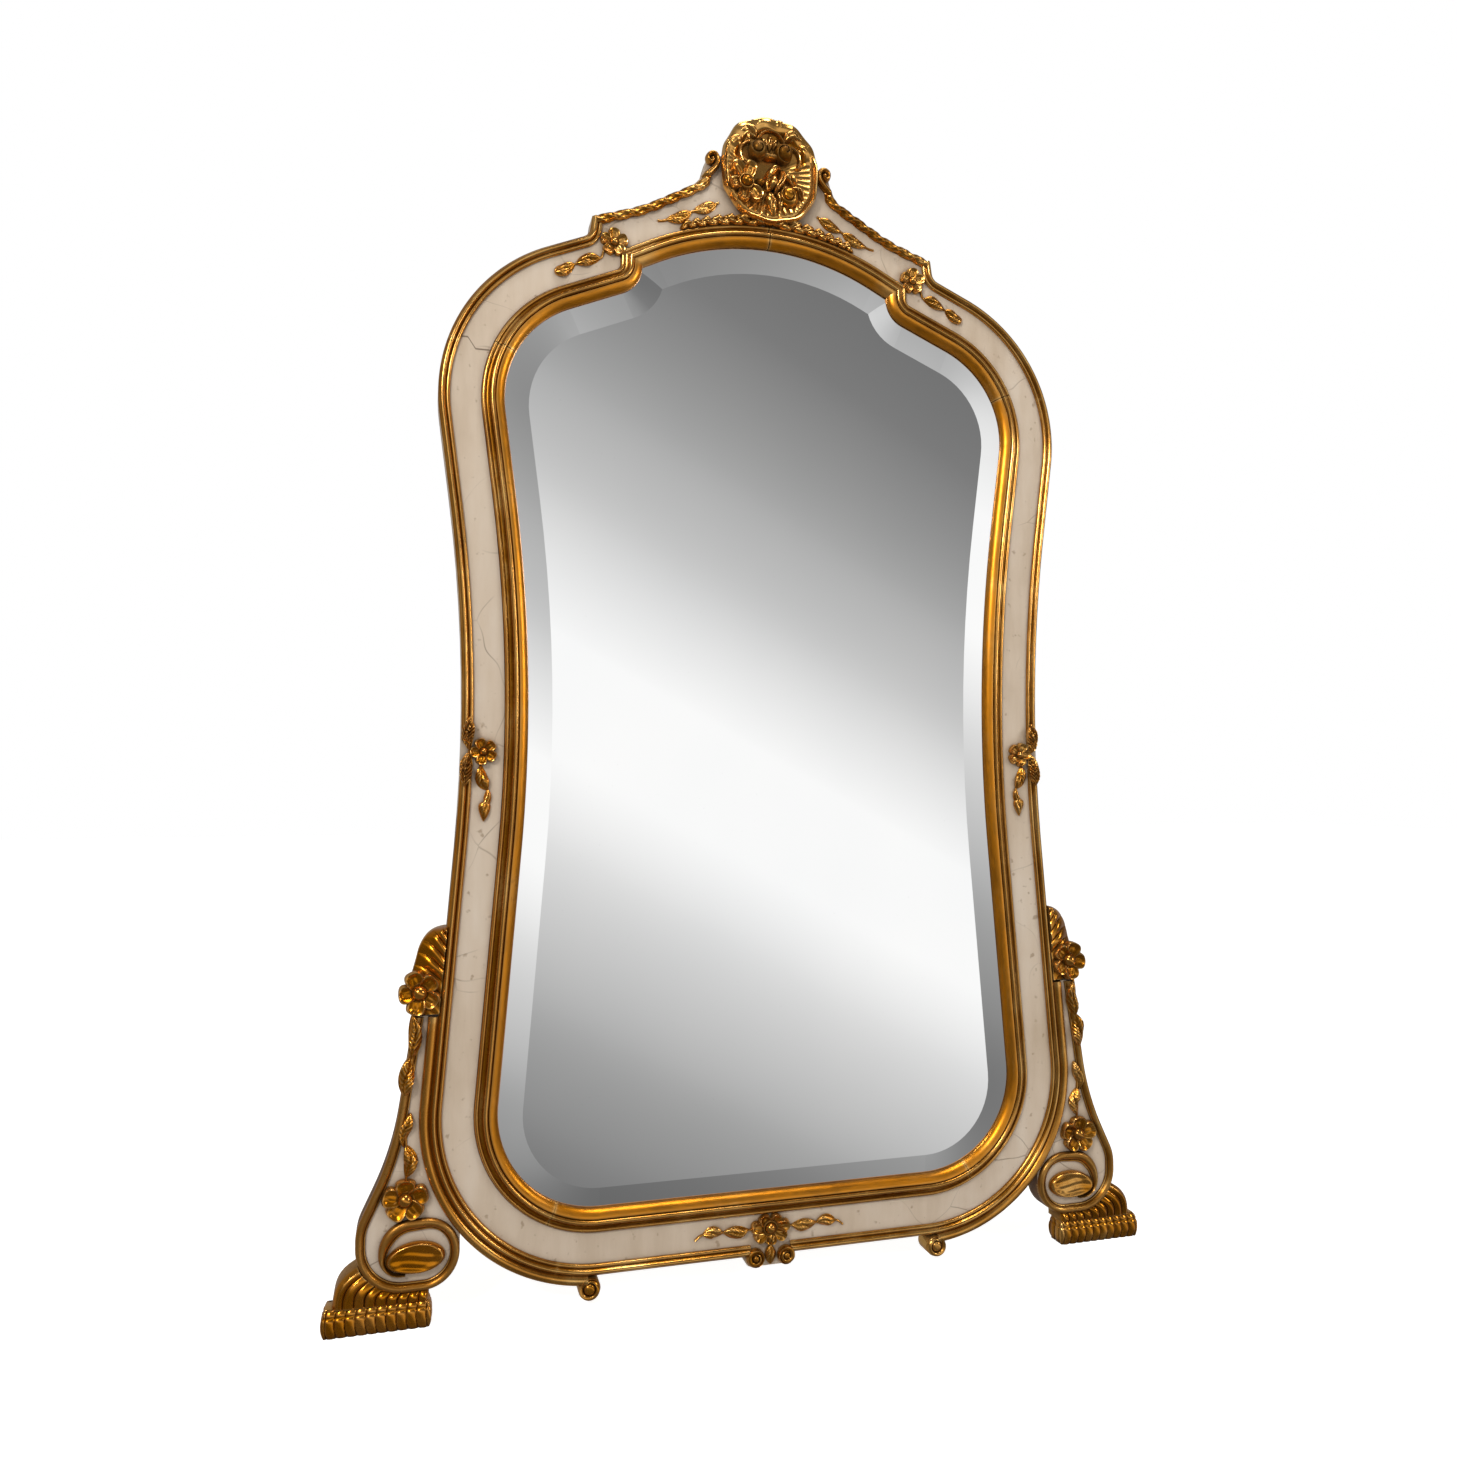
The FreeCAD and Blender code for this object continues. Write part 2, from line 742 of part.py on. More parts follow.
# Base scroll: strap round the lower corner down to a small volute
strap_start_z = console_top[1] + strap_width
strap_top = (point_at_height(outer, strap_start_z), strap_start_z, 0.0)
base_z = frame_lift - base_drop
strap_profile = [
    (glue_gap, strap_height - 1.5),
    (strap_width / 2, strap_height + 1.5, strap_width, strap_height - 1.5),
    (strap_width, -strap_back),
    (glue_gap, -strap_back),
]
strap = swept([strap_top, outer_lower, (-base_x + reach, frame_lift, 0.0)], strap_profile)
strap = strap.cut(Part.makeBox(far, far, reach, Vector(-base_x, -far / 2, 0)))
strap = strap.cut(Part.makeBox(far, far, reach, Vector(-far, -far / 2, console_top[1])))
strap = joined([strap, disc(-base_x, base_z, base_radius, strap_height + 2.0, -strap_back)])

# Console panel, its rim and eye, and the carved head above it
frame_body = slab(moved(outer, glue_gap), far, -far)
strap_body = slab(moved(outer, strap_width + glue_gap), far, -far)
console_line = [
    (-console_top[0], console_top[1], 0.0),
    (-console_bulge + console_bend_in, console_bottom + console_bend_rise, console_bend_radius),
    (-console_bulge, console_bulge_z, console_bulge_radius),
    (-console_bulge, console_bottom, console_outer_radius),
    (-console_heel, console_bottom, console_inner_radius),
    (-console_heel, console_bottom + 66.0, 0.0),
    (-console_heel, console_top[1], 0.0),
]
console = slab(console_line, 0.0, -console_depth).cut(strap_body)
rim_profile = [
    (-rim_width, rim_height * 0.4),
    (-rim_width * 0.5, rim_height * 1.3, 0.0, rim_height * 0.4),
    (0.0, 0.0),
    (-rim_width, 0.0),
]
rim_run = console_line[:5] + [
    (-console_heel, rim_over_top, rim_top_radius),
    (-rim_inner_turn, rim_over_top, rim_turn_radius),
    (-rim_inner_turn, rim_over_top - rim_turn_radius - rim_end, 0.0),
]
rim = swept(rim_run, rim_profile)
eye_middle = Vector(-console_heel - eye_in, level(0.0), console_bottom + eye_rise)
eye_side = eye_middle + Vector(eye_size[0], 0, 0)
eye_top = eye_middle + Vector(0, 0, eye_size[1])
eye_ring = Part.Ellipse(eye_side, eye_top, eye_middle)
eye = Part.Face(Part.Wire(eye_ring.toShape())).extrude(Vector(0, -eye_height, 0))
head_x = -console_top[0]
head_z = console_top[1]
head_line = [
    (head_x + 13.5, head_z + 93.0, 16.0), (head_x - 0.5, head_z + 63.0, 20.0),
    (head_x - 15.5, head_z + 41.0, 12.0), (head_x - 15.5, head_z + 16.0, 14.0),
    (head_x - 1.5, head_z, 4.0), (-console_heel, head_z, 0.0),
    (-console_heel, head_z + head_rise, 0.0), (head_x + 37.5, head_z + head_rise, 0.0),
]
head = slab(head_line, head_height, -head_depth).cut(frame_body)

# Foot: a pad on the shelf under a block that fits the volute
pad = Part.makeBox(
    pad_outer - pad_inner, pad_depth, pad_height, Vector(-pad_outer, level(foot_front), 0))
front_edges = [e for e in pad.Edges if abs(e.CenterOfMass.y - level(foot_front)) < 0.01]
pad = pad.makeFillet(pad_radius, front_edges)
heel = Part.makeBox(
    pad_outer - pad_inner - 2 * heel_inset, foot_front + depth_behind - pad_depth, pad_height,
    Vector(heel_inset - pad_outer, level(foot_front) + pad_depth, 0))
block_top = console_bottom + block_rise
block_line = [
    (-block_outer + 22.0, block_top, 8.0), (-block_outer, pad_height + 12.0, 16.0),
    (-block_outer, pad_height - 2.0, 0.0), (-block_inner, pad_height - 2.0, 0.0),
    (-block_inner, block_top, 0.0),
]
block = slab(block_line, block_front, -frame_depth)
console_seat = slab(moved(console_line, glue_gap), far, -far)
foot = joined([pad, heel, block.cut(console_seat)])

# Crest shell with its rim, scrolls and flowers
shell_line = both_sides([
    (-shell_half_width + 19.0, shell_top, 44.0),
    (-shell_half_width, shell_top - 66.0, 60.0),
    (-shell_half_width, shell_bottom + 34.0, 50.0),
    (-shell_half_width + 26.0, shell_bottom, 40.0),
])
shell_rim_profile = [
    (-shell_rim_width, shell_thickness - 1.0),
    (-shell_rim_width, shell_thickness),
    (-shell_rim_width / 2, shell_rim_height, 0.0, shell_thickness),
    (0.0, shell_thickness - 1.0),
]
shell = joined([slab(shell_line, shell_thickness, 0.0), swept(shell_line, shell_rim_profile, closed=True)])
scrolls = joined([
    dome(-19.0, shell_top - 50.0, 14.0, shell_thickness, scroll_rise),
    dome(19.0, shell_top - 50.0, 14.0, shell_thickness, scroll_rise),
    leaf((-24.0, shell_top - 57.0), (24.0, shell_top - 57.0), 16.0, shell_thickness, 9.0),
])
crest_flowers = joined([
    flower(-33.0, shell_bottom + 54.0, 21.0, shell_thickness),
    leaf((-22.0, shell_bottom + 60.0), (12.0, shell_bottom + 22.0), 16.0, shell_thickness, 6.0),
    leaf((-16.0, shell_bottom + 68.0), (54.0, shell_bottom + 42.0), 24.0, shell_thickness, 9.0),
])

# Husk garland between the arch and the shell
garland_offset = 5.5


def over_arch(angle, offset):
    """A point over the arch's moulding, at an angle in degrees from the top."""
    turn = math.radians(angle)
    radius = arch_radius + sight_width + offset
    return radius * math.sin(turn), arch_centre + radius * math.cos(turn)


husks = []
for i in range(5):
    angle = -7.2 - 1.9 * i
    husks.append(leaf(over_arch(angle, garland_offset), over_arch(angle - 2.3, garland_offset), 8.0, 0.0))
garland = joined(husks)

# Sprays on the flats and consoles
crest_spray = joined([
    leaf(over_arch(-15.6, 22.8), over_arch(-10.1, 30.4), 14.0, 0.0),
    leaf(over_arch(-21.5, 18.7), over_arch(-16.1, 21.7), 14.0, 0.0),
    stem(over_arch(-23.0, 19.7), over_arch(-10.4, 29.6), 0.0),
])
spray_offset = (sight_width + frame_width - edge_width) / 2 + 3.0


def under_horn(distance):
    """A point on the slope of the flat, at a distance down from the arch's foot."""
    normal = outward(slope_run)
    return along(along(bump, slope_run, distance), normal, spray_offset)


horn_flower = (horn[0] + 29.5, horn[1] - 24.5)
shoulder_spray = joined([
    flower(horn_flower[0], horn_flower[1], 15.5, 0.0),
    leaf(under_horn(74.9), under_horn(40.4), 13.0, 0.0),
    leaf(under_horn(112.1), under_horn(78.1), 13.0, 0.0),
    stem(under_horn(83.6), under_horn(57.0), 0.0),
    stem(under_horn(58.0), (horn_flower[0] - 6.5, horn_flower[1] - 7.5), 0.0),
])
waist_centre = (point_at_height(sight, waist_level) + point_at_height(outer, waist_level)) / 2 - 6.5
waist_spray = joined([
    flower(waist_centre, waist_level, 17.0, 0.0),
    leaf((waist_centre, waist_level - 17.0), (waist_centre - 2.0, waist_level - 53.0), 13.0, 0.0),
    leaf((waist_centre - 2.0, waist_level - 56.0), (waist_centre - 4.0, waist_level - 90.0), 17.0, 0.0),
    stem((waist_centre, waist_level - 3.0), (waist_centre - 3.0, waist_level - 78.0), 0.0),
])
flat_inner = sight_bottom - sight_width - glue_gap
bottom_limit = polygon_slab([(-far, 0.0), (far, 0.0), (far, flat_inner), (-far, flat_inner)], far, -far)
bottom_leaves = []
flat_mid = (frame_lift + edge_width + sight_bottom - sight_width) / 2
for side in (-1.0, 1.0):
    bottom_leaves.append(leaf((side * 24.0, flat_mid - 0.5), (side * 66.0, flat_mid + 3.5), 15.0, 0.0))
    bottom_leaves.append(leaf((side * 69.0, flat_mid + 3.0), (side * 100.0, flat_mid - 2.5), 13.0, 0.0))
    bottom_leaves.append(stem((side * 18.0, flat_mid - 0.5), (side * 78.0, flat_mid + 3.5), 0.0))
bottom_flower = flower(0.0, flat_mid - 1.5, 24.0, 0.0, petals=7, first=-90.0).common(bottom_limit)
bottom_spray = joined([bottom_flower] + bottom_leaves)
spray_x = -console_heel - 64.0
spray_z = rim_over_top + 30.5
console_spray = Part.makeCompound([
    flower(head_x + 7.5, head_z + 27.0, 24.0, head_height),
    joined([
        flower(spray_x, spray_z, 25.0, 0.0),
        leaf((spray_x, spray_z + 22.5), (spray_x + 2.0, spray_z + 68.5), 13.0, 0.0),
        leaf((spray_x + 2.5, spray_z + 71.5), (spray_x + 9.0, spray_z + 108.5), 11.0, 0.0),
        stem((spray_x, spray_z + 14.5), (spray_x + 3.5, spray_z + 78.5), 0.0),
    ]),
])

# Hangers: a strap with a rolled knuckle, and a ring that swings in it
plate_wide, plate_tall, plate_thick = hanger_plate_size
knuckle_bore = ring_wire + pin_clearance
knuckle_outer = knuckle_bore + knuckle_wall
back_y = level(-frame_depth)
pin_y = back_y + knuckle_outer
pin_z = shoulder_z - hanger_drop - plate_tall / 2
back_line = moved(sight, back_rebate_width)
hanger_z = pin_z + plate_tall / 2
hanger_x = (point_at_height(back_line, hanger_z) + point_at_height(outer, hanger_z)) / 2
strap_plate = Part.makeBox(
    plate_wide, plate_thick, plate_tall, Vector(hanger_x - plate_wide / 2, back_y, pin_z))
for notch_x in (hanger_x + knuckle_length / 2, hanger_x - knuckle_length / 2 - far):
    notch = Part.makeBox(far, far, knuckle_outer + 2.0, Vector(notch_x, back_y - 1.0, pin_z - 1.0))
    strap_plate = strap_plate.cut(notch)
knuckle_start = Vector(hanger_x - knuckle_length / 2, pin_y, pin_z)
knuckle_end = Vector(hanger_x + knuckle_length / 2, pin_y, pin_z)
hanger = joined([strap_plate, rod(knuckle_start, knuckle_end, knuckle_outer)])
bore_margin = Vector(1, 0, 0)
hanger = hanger.cut(rod(knuckle_start - bore_margin, knuckle_end + bore_margin, knuckle_bore))
hanger_screw_spots = [(hanger_x, pin_z + plate_tall - drop) for drop in (9.0, 29.0)]
screw_back = -frame_depth - plate_thick
hanger_screws = [screw(x, z, screw_back, 0.0) for x, z in hanger_screw_spots]
hanger_holes = Part.makeCompound([screw(x, z, screw_back, screw_clearance) for x, z in hanger_screw_spots])
hanger = hanger.cut(hanger_holes)
bow_radius = ring_half_width
bow_z = pin_z - (ring_drop - bow_radius)
left_x = hanger_x - ring_half_width
right_x = hanger_x + ring_half_width
bow = Part.makeTorus(bow_radius, ring_wire, Vector(hanger_x, pin_y, bow_z), Vector(0, 1, 0))
bow = bow.cut(Part.makeBox(far, far, far, Vector(-far / 2, -far / 2, bow_z)))
ring = joined([
    rod(Vector(left_x, pin_y, pin_z), Vector(right_x, pin_y, pin_z), ring_wire),
    rod(Vector(left_x, pin_y, bow_z), Vector(left_x, pin_y, pin_z), ring_wire),
    rod(Vector(right_x, pin_y, bow_z), Vector(right_x, pin_y, pin_z), ring_wire),
    Part.makeSphere(ring_wire, Vector(left_x, pin_y, pin_z)),
    Part.makeSphere(ring_wire, Vector(right_x, pin_y, pin_z)),
    bow,
])

# Spacers that hold the frame off the wall
spacer_wide, spacer_tall = spacer_size
spacers = []
for z in (shoulder_z - spacer_drop_shoulder, waist_z - spacer_drop_waist, sight_bottom + spacer_rise_bottom):
    x = (point_at_height(back_line, z) + point_at_height(outer, z)) / 2
    spacer = Part.makeBox(
        spacer_wide, spacer_thickness, spacer_tall,
        Vector(x - spacer_wide / 2, back_y, z - spacer_tall / 2))
    spacers.append(spacer)
    spacers.append(mirrored(spacer))

# Members, cut apart at the joints and drilled
carcase = carcase.cut(peg_holes).cut(board_screw_holes)
carcase = carcase.cut(hanger_holes).cut(mirrored(hanger_holes))
left_carcase = carcase.common(left_region)
top_rail = left_carcase.common(top_region)
stile = left_carcase.cut(top_region).cut(bottom_region)
save_pair("top_rail", top_rail)
save_pair("stile", stile)
save("bottom_rail", carcase.common(bottom_region))

left_side_strip = side_strip.common(left_region)
save_pair("sight_moulding_arch", arch_strip.common(left_region))
save_pair("sight_moulding_shoulder", left_side_strip.common(top_region))
save_pair("sight_moulding_stile", left_side_strip.cut(top_region).cut(bottom_region))
save("sight_moulding_bottom", side_strip.common(bottom_region))
save_pair("edge_moulding_shoulder", edge_strip.common(top_region))
save_pair("edge_moulding_stile", edge_strip.cut(top_region).cut(bottom_region).cut(waist_gap))
save_pair("edge_moulding_bottom", edge_strip.common(bottom_region))
save_pair("rope_moulding", rope_strip)
save_pair("waist_leaf", waist_leaves)

save_pair("base_scroll", strap.cut(peg_holes))
save_pair("console_panel", console.cut(peg_holes))
save_pair("console_rim", Part.makeCompound([rim, eye]))
save_pair("console_leaf", head)
save_pair("console_spray", console_spray)
save_pair("foot", foot.cut(peg_holes))

save("crest_shell", shell)
save("crest_scrolls", scrolls)
save("crest_flowers", crest_flowers)
save_pair("crest_garland", garland)
save_pair("crest_spray", crest_spray)
save_pair("shoulder_spray", shoulder_spray)
save_pair("waist_spray", waist_spray)
save("bottom_spray", bottom_spray)

save("mirror_plate", plate)
save("glazing_blocks", Part.makeCompound(blocks))
for name, board in boards.items():
    save("backboard_" + name, board)
save("backboard_screws", Part.makeCompound(board_screws))
save("frame_dowels", Part.makeCompound(pegs))
save("wall_spacers", Part.makeCompound(spacers))
save_pair("hanger_plate", hanger)
save_pair("hanger_ring", ring)
save("hanger_screws", Part.makeCompound(hanger_screws + [mirrored(s) for s in hanger_screws]))
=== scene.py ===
import bpy
import bmesh
import json
from math import atan2, cos, degrees, dist, exp, hypot, pi, radians, sin, sqrt, tan, tau
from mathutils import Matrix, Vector


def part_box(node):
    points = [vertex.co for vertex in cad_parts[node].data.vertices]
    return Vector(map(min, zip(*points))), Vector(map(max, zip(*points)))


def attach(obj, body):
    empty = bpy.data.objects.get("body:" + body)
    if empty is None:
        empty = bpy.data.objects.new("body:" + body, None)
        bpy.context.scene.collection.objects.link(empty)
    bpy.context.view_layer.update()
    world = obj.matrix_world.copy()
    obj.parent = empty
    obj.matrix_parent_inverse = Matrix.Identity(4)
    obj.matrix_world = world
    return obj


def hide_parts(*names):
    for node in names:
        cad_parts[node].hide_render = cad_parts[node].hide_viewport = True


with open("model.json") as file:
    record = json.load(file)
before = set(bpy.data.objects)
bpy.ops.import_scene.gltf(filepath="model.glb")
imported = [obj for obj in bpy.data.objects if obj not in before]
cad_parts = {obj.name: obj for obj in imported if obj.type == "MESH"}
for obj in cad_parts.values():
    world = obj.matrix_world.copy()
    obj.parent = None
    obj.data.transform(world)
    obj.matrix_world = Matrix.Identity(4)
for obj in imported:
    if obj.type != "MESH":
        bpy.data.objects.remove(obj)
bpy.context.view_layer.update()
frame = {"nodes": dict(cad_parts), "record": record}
nodes = frame["nodes"]
print("frame loaded:", len(nodes), "nodes")

# Lengths are in millimetres until a piece is finished.
# A carving's height counts forwards from the painted flat.
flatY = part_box("stile_left")[0][1] * 1000


def smooth(low, high, t):
    t = min(1.0, max(0.0, (t - low) / (high - low)))
    return t * t * (3 - 2 * t)


def ridge(t, centre, width):
    return exp(-((t - centre) / width) ** 2)


def at(x, z, height):
    return Vector((x, flatY - height, z))


# Runs of line and arc, as a joiner sets out a moulding
def unit(a, b):
    length = hypot(b[0] - a[0], b[1] - a[1])
    return (b[0] - a[0]) / length, (b[1] - a[1]) / length


def heading(points, j):
    return unit(points[max(0, j - 1)], points[min(len(points) - 1, j + 1)])


def offsetCorners(corners, distance):
    result = []
    for before, corner, after in zip(corners, corners[1:], corners[2:]):
        a, b = unit(before, corner), unit(corner, after)
        scale = distance / (1 + a[0] * b[0] + a[1] * b[1])
        turn = a[0] * b[1] - a[1] * b[0]
        x = corner[0] + (a[1] + b[1]) * scale
        z = corner[1] - (a[0] + b[0]) * scale
        result.append((x, z, corner[2] + (distance if turn > 0 else -distance)))
    return result


def roundedRun(corners, step=4.0):
    points = [corners[0][:2]]
    for before, corner, after in zip(corners, corners[1:], corners[2:]):
        x, z, radius = corner
        a, b = unit(before, corner), unit(corner, after)
        turn = atan2(a[0] * b[1] - a[1] * b[0], a[0] * b[0] + a[1] * b[1])
        if radius <= 0 or abs(turn) < 1e-4:
            points.append((x, z))
            continue
        length = radius * tan(abs(turn) / 2)
        start = (x - a[0] * length, z - a[1] * length)
        side = -1 if turn > 0 else 1
        centre = (start[0] + a[1] * radius * side, start[1] - a[0] * radius * side)
        count = max(4, int(radius * abs(turn) / step))
        for i in range(count + 1):
            angle = turn * i / count
            dx, dz = start[0] - centre[0], start[1] - centre[1]
            c, s = cos(angle), sin(angle)
            points.append((centre[0] + dx * c - dz * s, centre[1] + dx * s + dz * c))
    points.append(corners[-1][:2])
    dense = [points[0]]
    for a, b in zip(points, points[1:]):
        length = dist(a, b)
        if length < 1e-3:
            continue
        count = max(1, int(length / (step * 3)))
        for i in range(1, count + 1):
            dense.append((a[0] + (b[0] - a[0]) * i / count, a[1] + (b[1] - a[1]) * i / count))
    return dense


def lengths(points):
    total = [0.0]
    for a, b in zip(points, points[1:]):
        total.append(total[-1] + dist(a, b))
    return total


def cutRun(points, start, end):
    run = lengths(points)
    result = []
    for (a, b), (p, q) in zip(zip(points, points[1:]), zip(run, run[1:])):
        for place in (start, end):
            if p <= place <= q:
                t = (place - p) / (q - p)
                result.append((place, (a[0] + (b[0] - a[0]) * t, a[1] + (b[1] - a[1]) * t)))
    inside = [(s, p) for s, p in zip(run, points) if start + 0.5 < s < end - 0.5]
    ends = sorted(result)
    return [p for s, p in sorted([ends[0]] + inside + [ends[-1]])]


def evenRun(points, step):
    run = lengths(points)
    count = max(2, int(run[-1] / step))
    result, i = [], 0
    for k in range(count + 1):
        place = run[-1] * k / count
        while i < len(run) - 2 and run[i + 1] < place:
            i += 1
        t = (place - run[i]) / (run[i + 1] - run[i])
        a, b = points[i], points[i + 1]
        result.append((a[0] + (b[0] - a[0]) * t, a[1] + (b[1] - a[1]) * t))
    return result


def curve(points, count=24):
    # Smooth line through a few points
    padded = [points[0]] + list(points) + [points[-1]]
    result = []
    for p0, p1, p2, p3 in zip(padded, padded[1:], padded[2:], padded[3:]):
        for i in range(count):
            t = i / count
            result.append(tuple(
                0.5 * (2 * b + (c - a) * t + (2 * a - 5 * b + 4 * c - d) * t * t
                       + (3 * b - a - 3 * c + d) * t ** 3)
                for a, b, c, d in zip(p0, p1, p2, p3)))
    return result + [tuple(points[-1])]


# Sheets to carve: a grid, or a disc spun from one row
def withLayers(bm):
    for name in ("along", "across", "warmSheen", "shadeAndHighlight"):
        bm.verts.layers.float.new(name)
    return bm


def stripSheet(across, along):
    bm = bmesh.new()
    bmesh.ops.create_grid(bm, x_segments=across, y_segments=along, size=0.5)
    return withLayers(bm)


def discSheet(rings, segments):
    bm = withLayers(bmesh.new())
    row = [bm.verts.new((i / rings, 0, 0)) for i in range(rings + 1)]
    line = [bm.edges.new(pair) for pair in zip(row, row[1:])]
    bmesh.ops.spin(bm, geom=row + line, cent=(0, 0, 0), axis=(0, 1, 0), angle=tau, steps=segments,
                   use_merge=True)
    bmesh.ops.remove_doubles(bm, verts=bm.verts, dist=1e-6)
    return bm


def marks(bm, *names):
    return [bm.verts.layers.float[name] for name in names]


def polar(v):
    # Distance and angle of a disc's point, from its middle
    return hypot(v.co.x, v.co.z), atan2(v.co.z, v.co.x)


def onDisc(x, z, reach, angle, height):
    return at(x + reach * cos(angle), z + reach * sin(angle), height)


def sided(sign, *points):
    return [(sign * x, z) for x, z in points]


def pick(line, t):
    return line[min(len(line) - 1, round(t * (len(line) - 1)))]


def setShadeAndHighlight(bm, name, value):
    # Sets one mark on every point; it carries painted shade or a painted highlight
    layer = bm.verts.layers.float[name]
    for v in bm.verts:
        v[layer] = value
    return bm


def closeBack(bm, height):
    rim = [e for e in bm.edges if e.is_boundary]
    wall = bmesh.ops.extrude_edge_only(bm, edges=rim)["geom"]
    for v in wall:
        if isinstance(v, bmesh.types.BMVert):
            v.co.y = flatY - height
    bmesh.ops.holes_fill(bm, edges=[e for e in bm.edges if e.is_boundary], sides=0)
    return bm


def sweep(points, profile, back, startNormal=None, endNormal=None, vary=None, warmSheen=(1.0, 1.0)):
    # The section (distance to the right of the run, height) carried along a run
    n, m = len(points), len(profile)
    run = lengths(points)
    bm = stripSheet(m - 1, n - 1)
    along, across, warmSheenLayer = marks(bm, "along", "across", "warmSheen")
    normals = []
    for j in range(n):
        a = heading(points, j)
        normals.append((a[1], -a[0]))
    normals[0] = startNormal or normals[0]
    normals[-1] = endNormal or normals[-1]
    for v in bm.verts:
        i, j = round((v.co.x + 0.5) * (m - 1)), round((v.co.y + 0.5) * (n - 1))
        d, h = profile[i]
        if vary:
            d, h = vary(run[j] / run[-1], run[j], d, h)
        v.co = at(points[j][0] + normals[j][0] * d, points[j][1] + normals[j][1] * d, h)
        v[along], v[across], v[warmSheenLayer] = run[j], i / (m - 1), 1.0 if warmSheen[0] <= d < warmSheen[1] else 0.0
    return closeBack(bm, -back)


def gather(parts):
    whole = bmesh.new()
    for part in parts:
        mesh = bpy.data.meshes.new("part")
        part.to_mesh(mesh)
        part.free()
        whole.from_mesh(mesh)
        bpy.data.meshes.remove(mesh)
    return whole


def turnedOver(bm):
    # Copy for the other side of the axis
    other = bm.copy()
    bmesh.ops.scale(other, vec=(-1, 1, 1), verts=other.verts)
    bmesh.ops.reverse_faces(other, faces=other.faces)
    return other


def hollows(bm):
    # Signed hollowness at each point: dirt and painted shade where it is positive, a painted highlight on the
    # gold where it is negative
    layer = bm.verts.layers.float.new("hollow")
    bm.normal_update()
    raw = {}
    for v in bm.verts:
        total, weight = 0.0, 0.0
        for e in v.link_edges:
            step = e.other_vert(v).co - v.co
            if step.length > 1e-9:
                total += step.normalized().dot(v.normal)
                weight += 1
        raw[v] = total / weight if weight else 0.0
    for v in bm.verts:
        near = [raw[e.other_vert(v)] for e in v.link_edges]
        v[layer] = 0.6 * raw[v] + 0.4 * sum(near) / max(1, len(near))


made = []


def newObject(name, data):
    result = bpy.data.objects.new(name, data)
    bpy.context.scene.collection.objects.link(result)
    return result


def finishPiece(bm, name, material, node=None, angle=50):
    bmesh.ops.remove_doubles(bm, verts=bm.verts, dist=0.002)
    bmesh.ops.dissolve_degenerate(bm, dist=0.001, edges=bm.edges)
    bmesh.ops.recalc_face_normals(bm, faces=bm.faces)
    hollows(bm)
    bmesh.ops.scale(bm, vec=(0.001, 0.001, 0.001), verts=bm.verts)
    for e in bm.edges:
        e.smooth = len(e.link_faces) == 2 and e.calc_face_angle(0) < radians(angle)
    for f in bm.faces:
        f.smooth = True
    mesh = bpy.data.meshes.new(name)
    bm.to_mesh(mesh)
    bm.free()
    piece = newObject(name, mesh)
    mesh.materials.append(material)
    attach(piece, "frame")
    if node:
        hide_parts(node)
    made.append(name)


def finishPair(bm, name, material, node=None):
    right = turnedOver(bm)
    finishPiece(bm, name + ".left", material, node and node + "_left")
    finishPiece(right, name + ".right", material, node and node + "_right")


def gild(bm, name, node=None, angle=50):
    finishPiece(bm, name, gold, node, angle)


def gildPair(bm, name, node):
    finishPair(bm, name, gold, node)


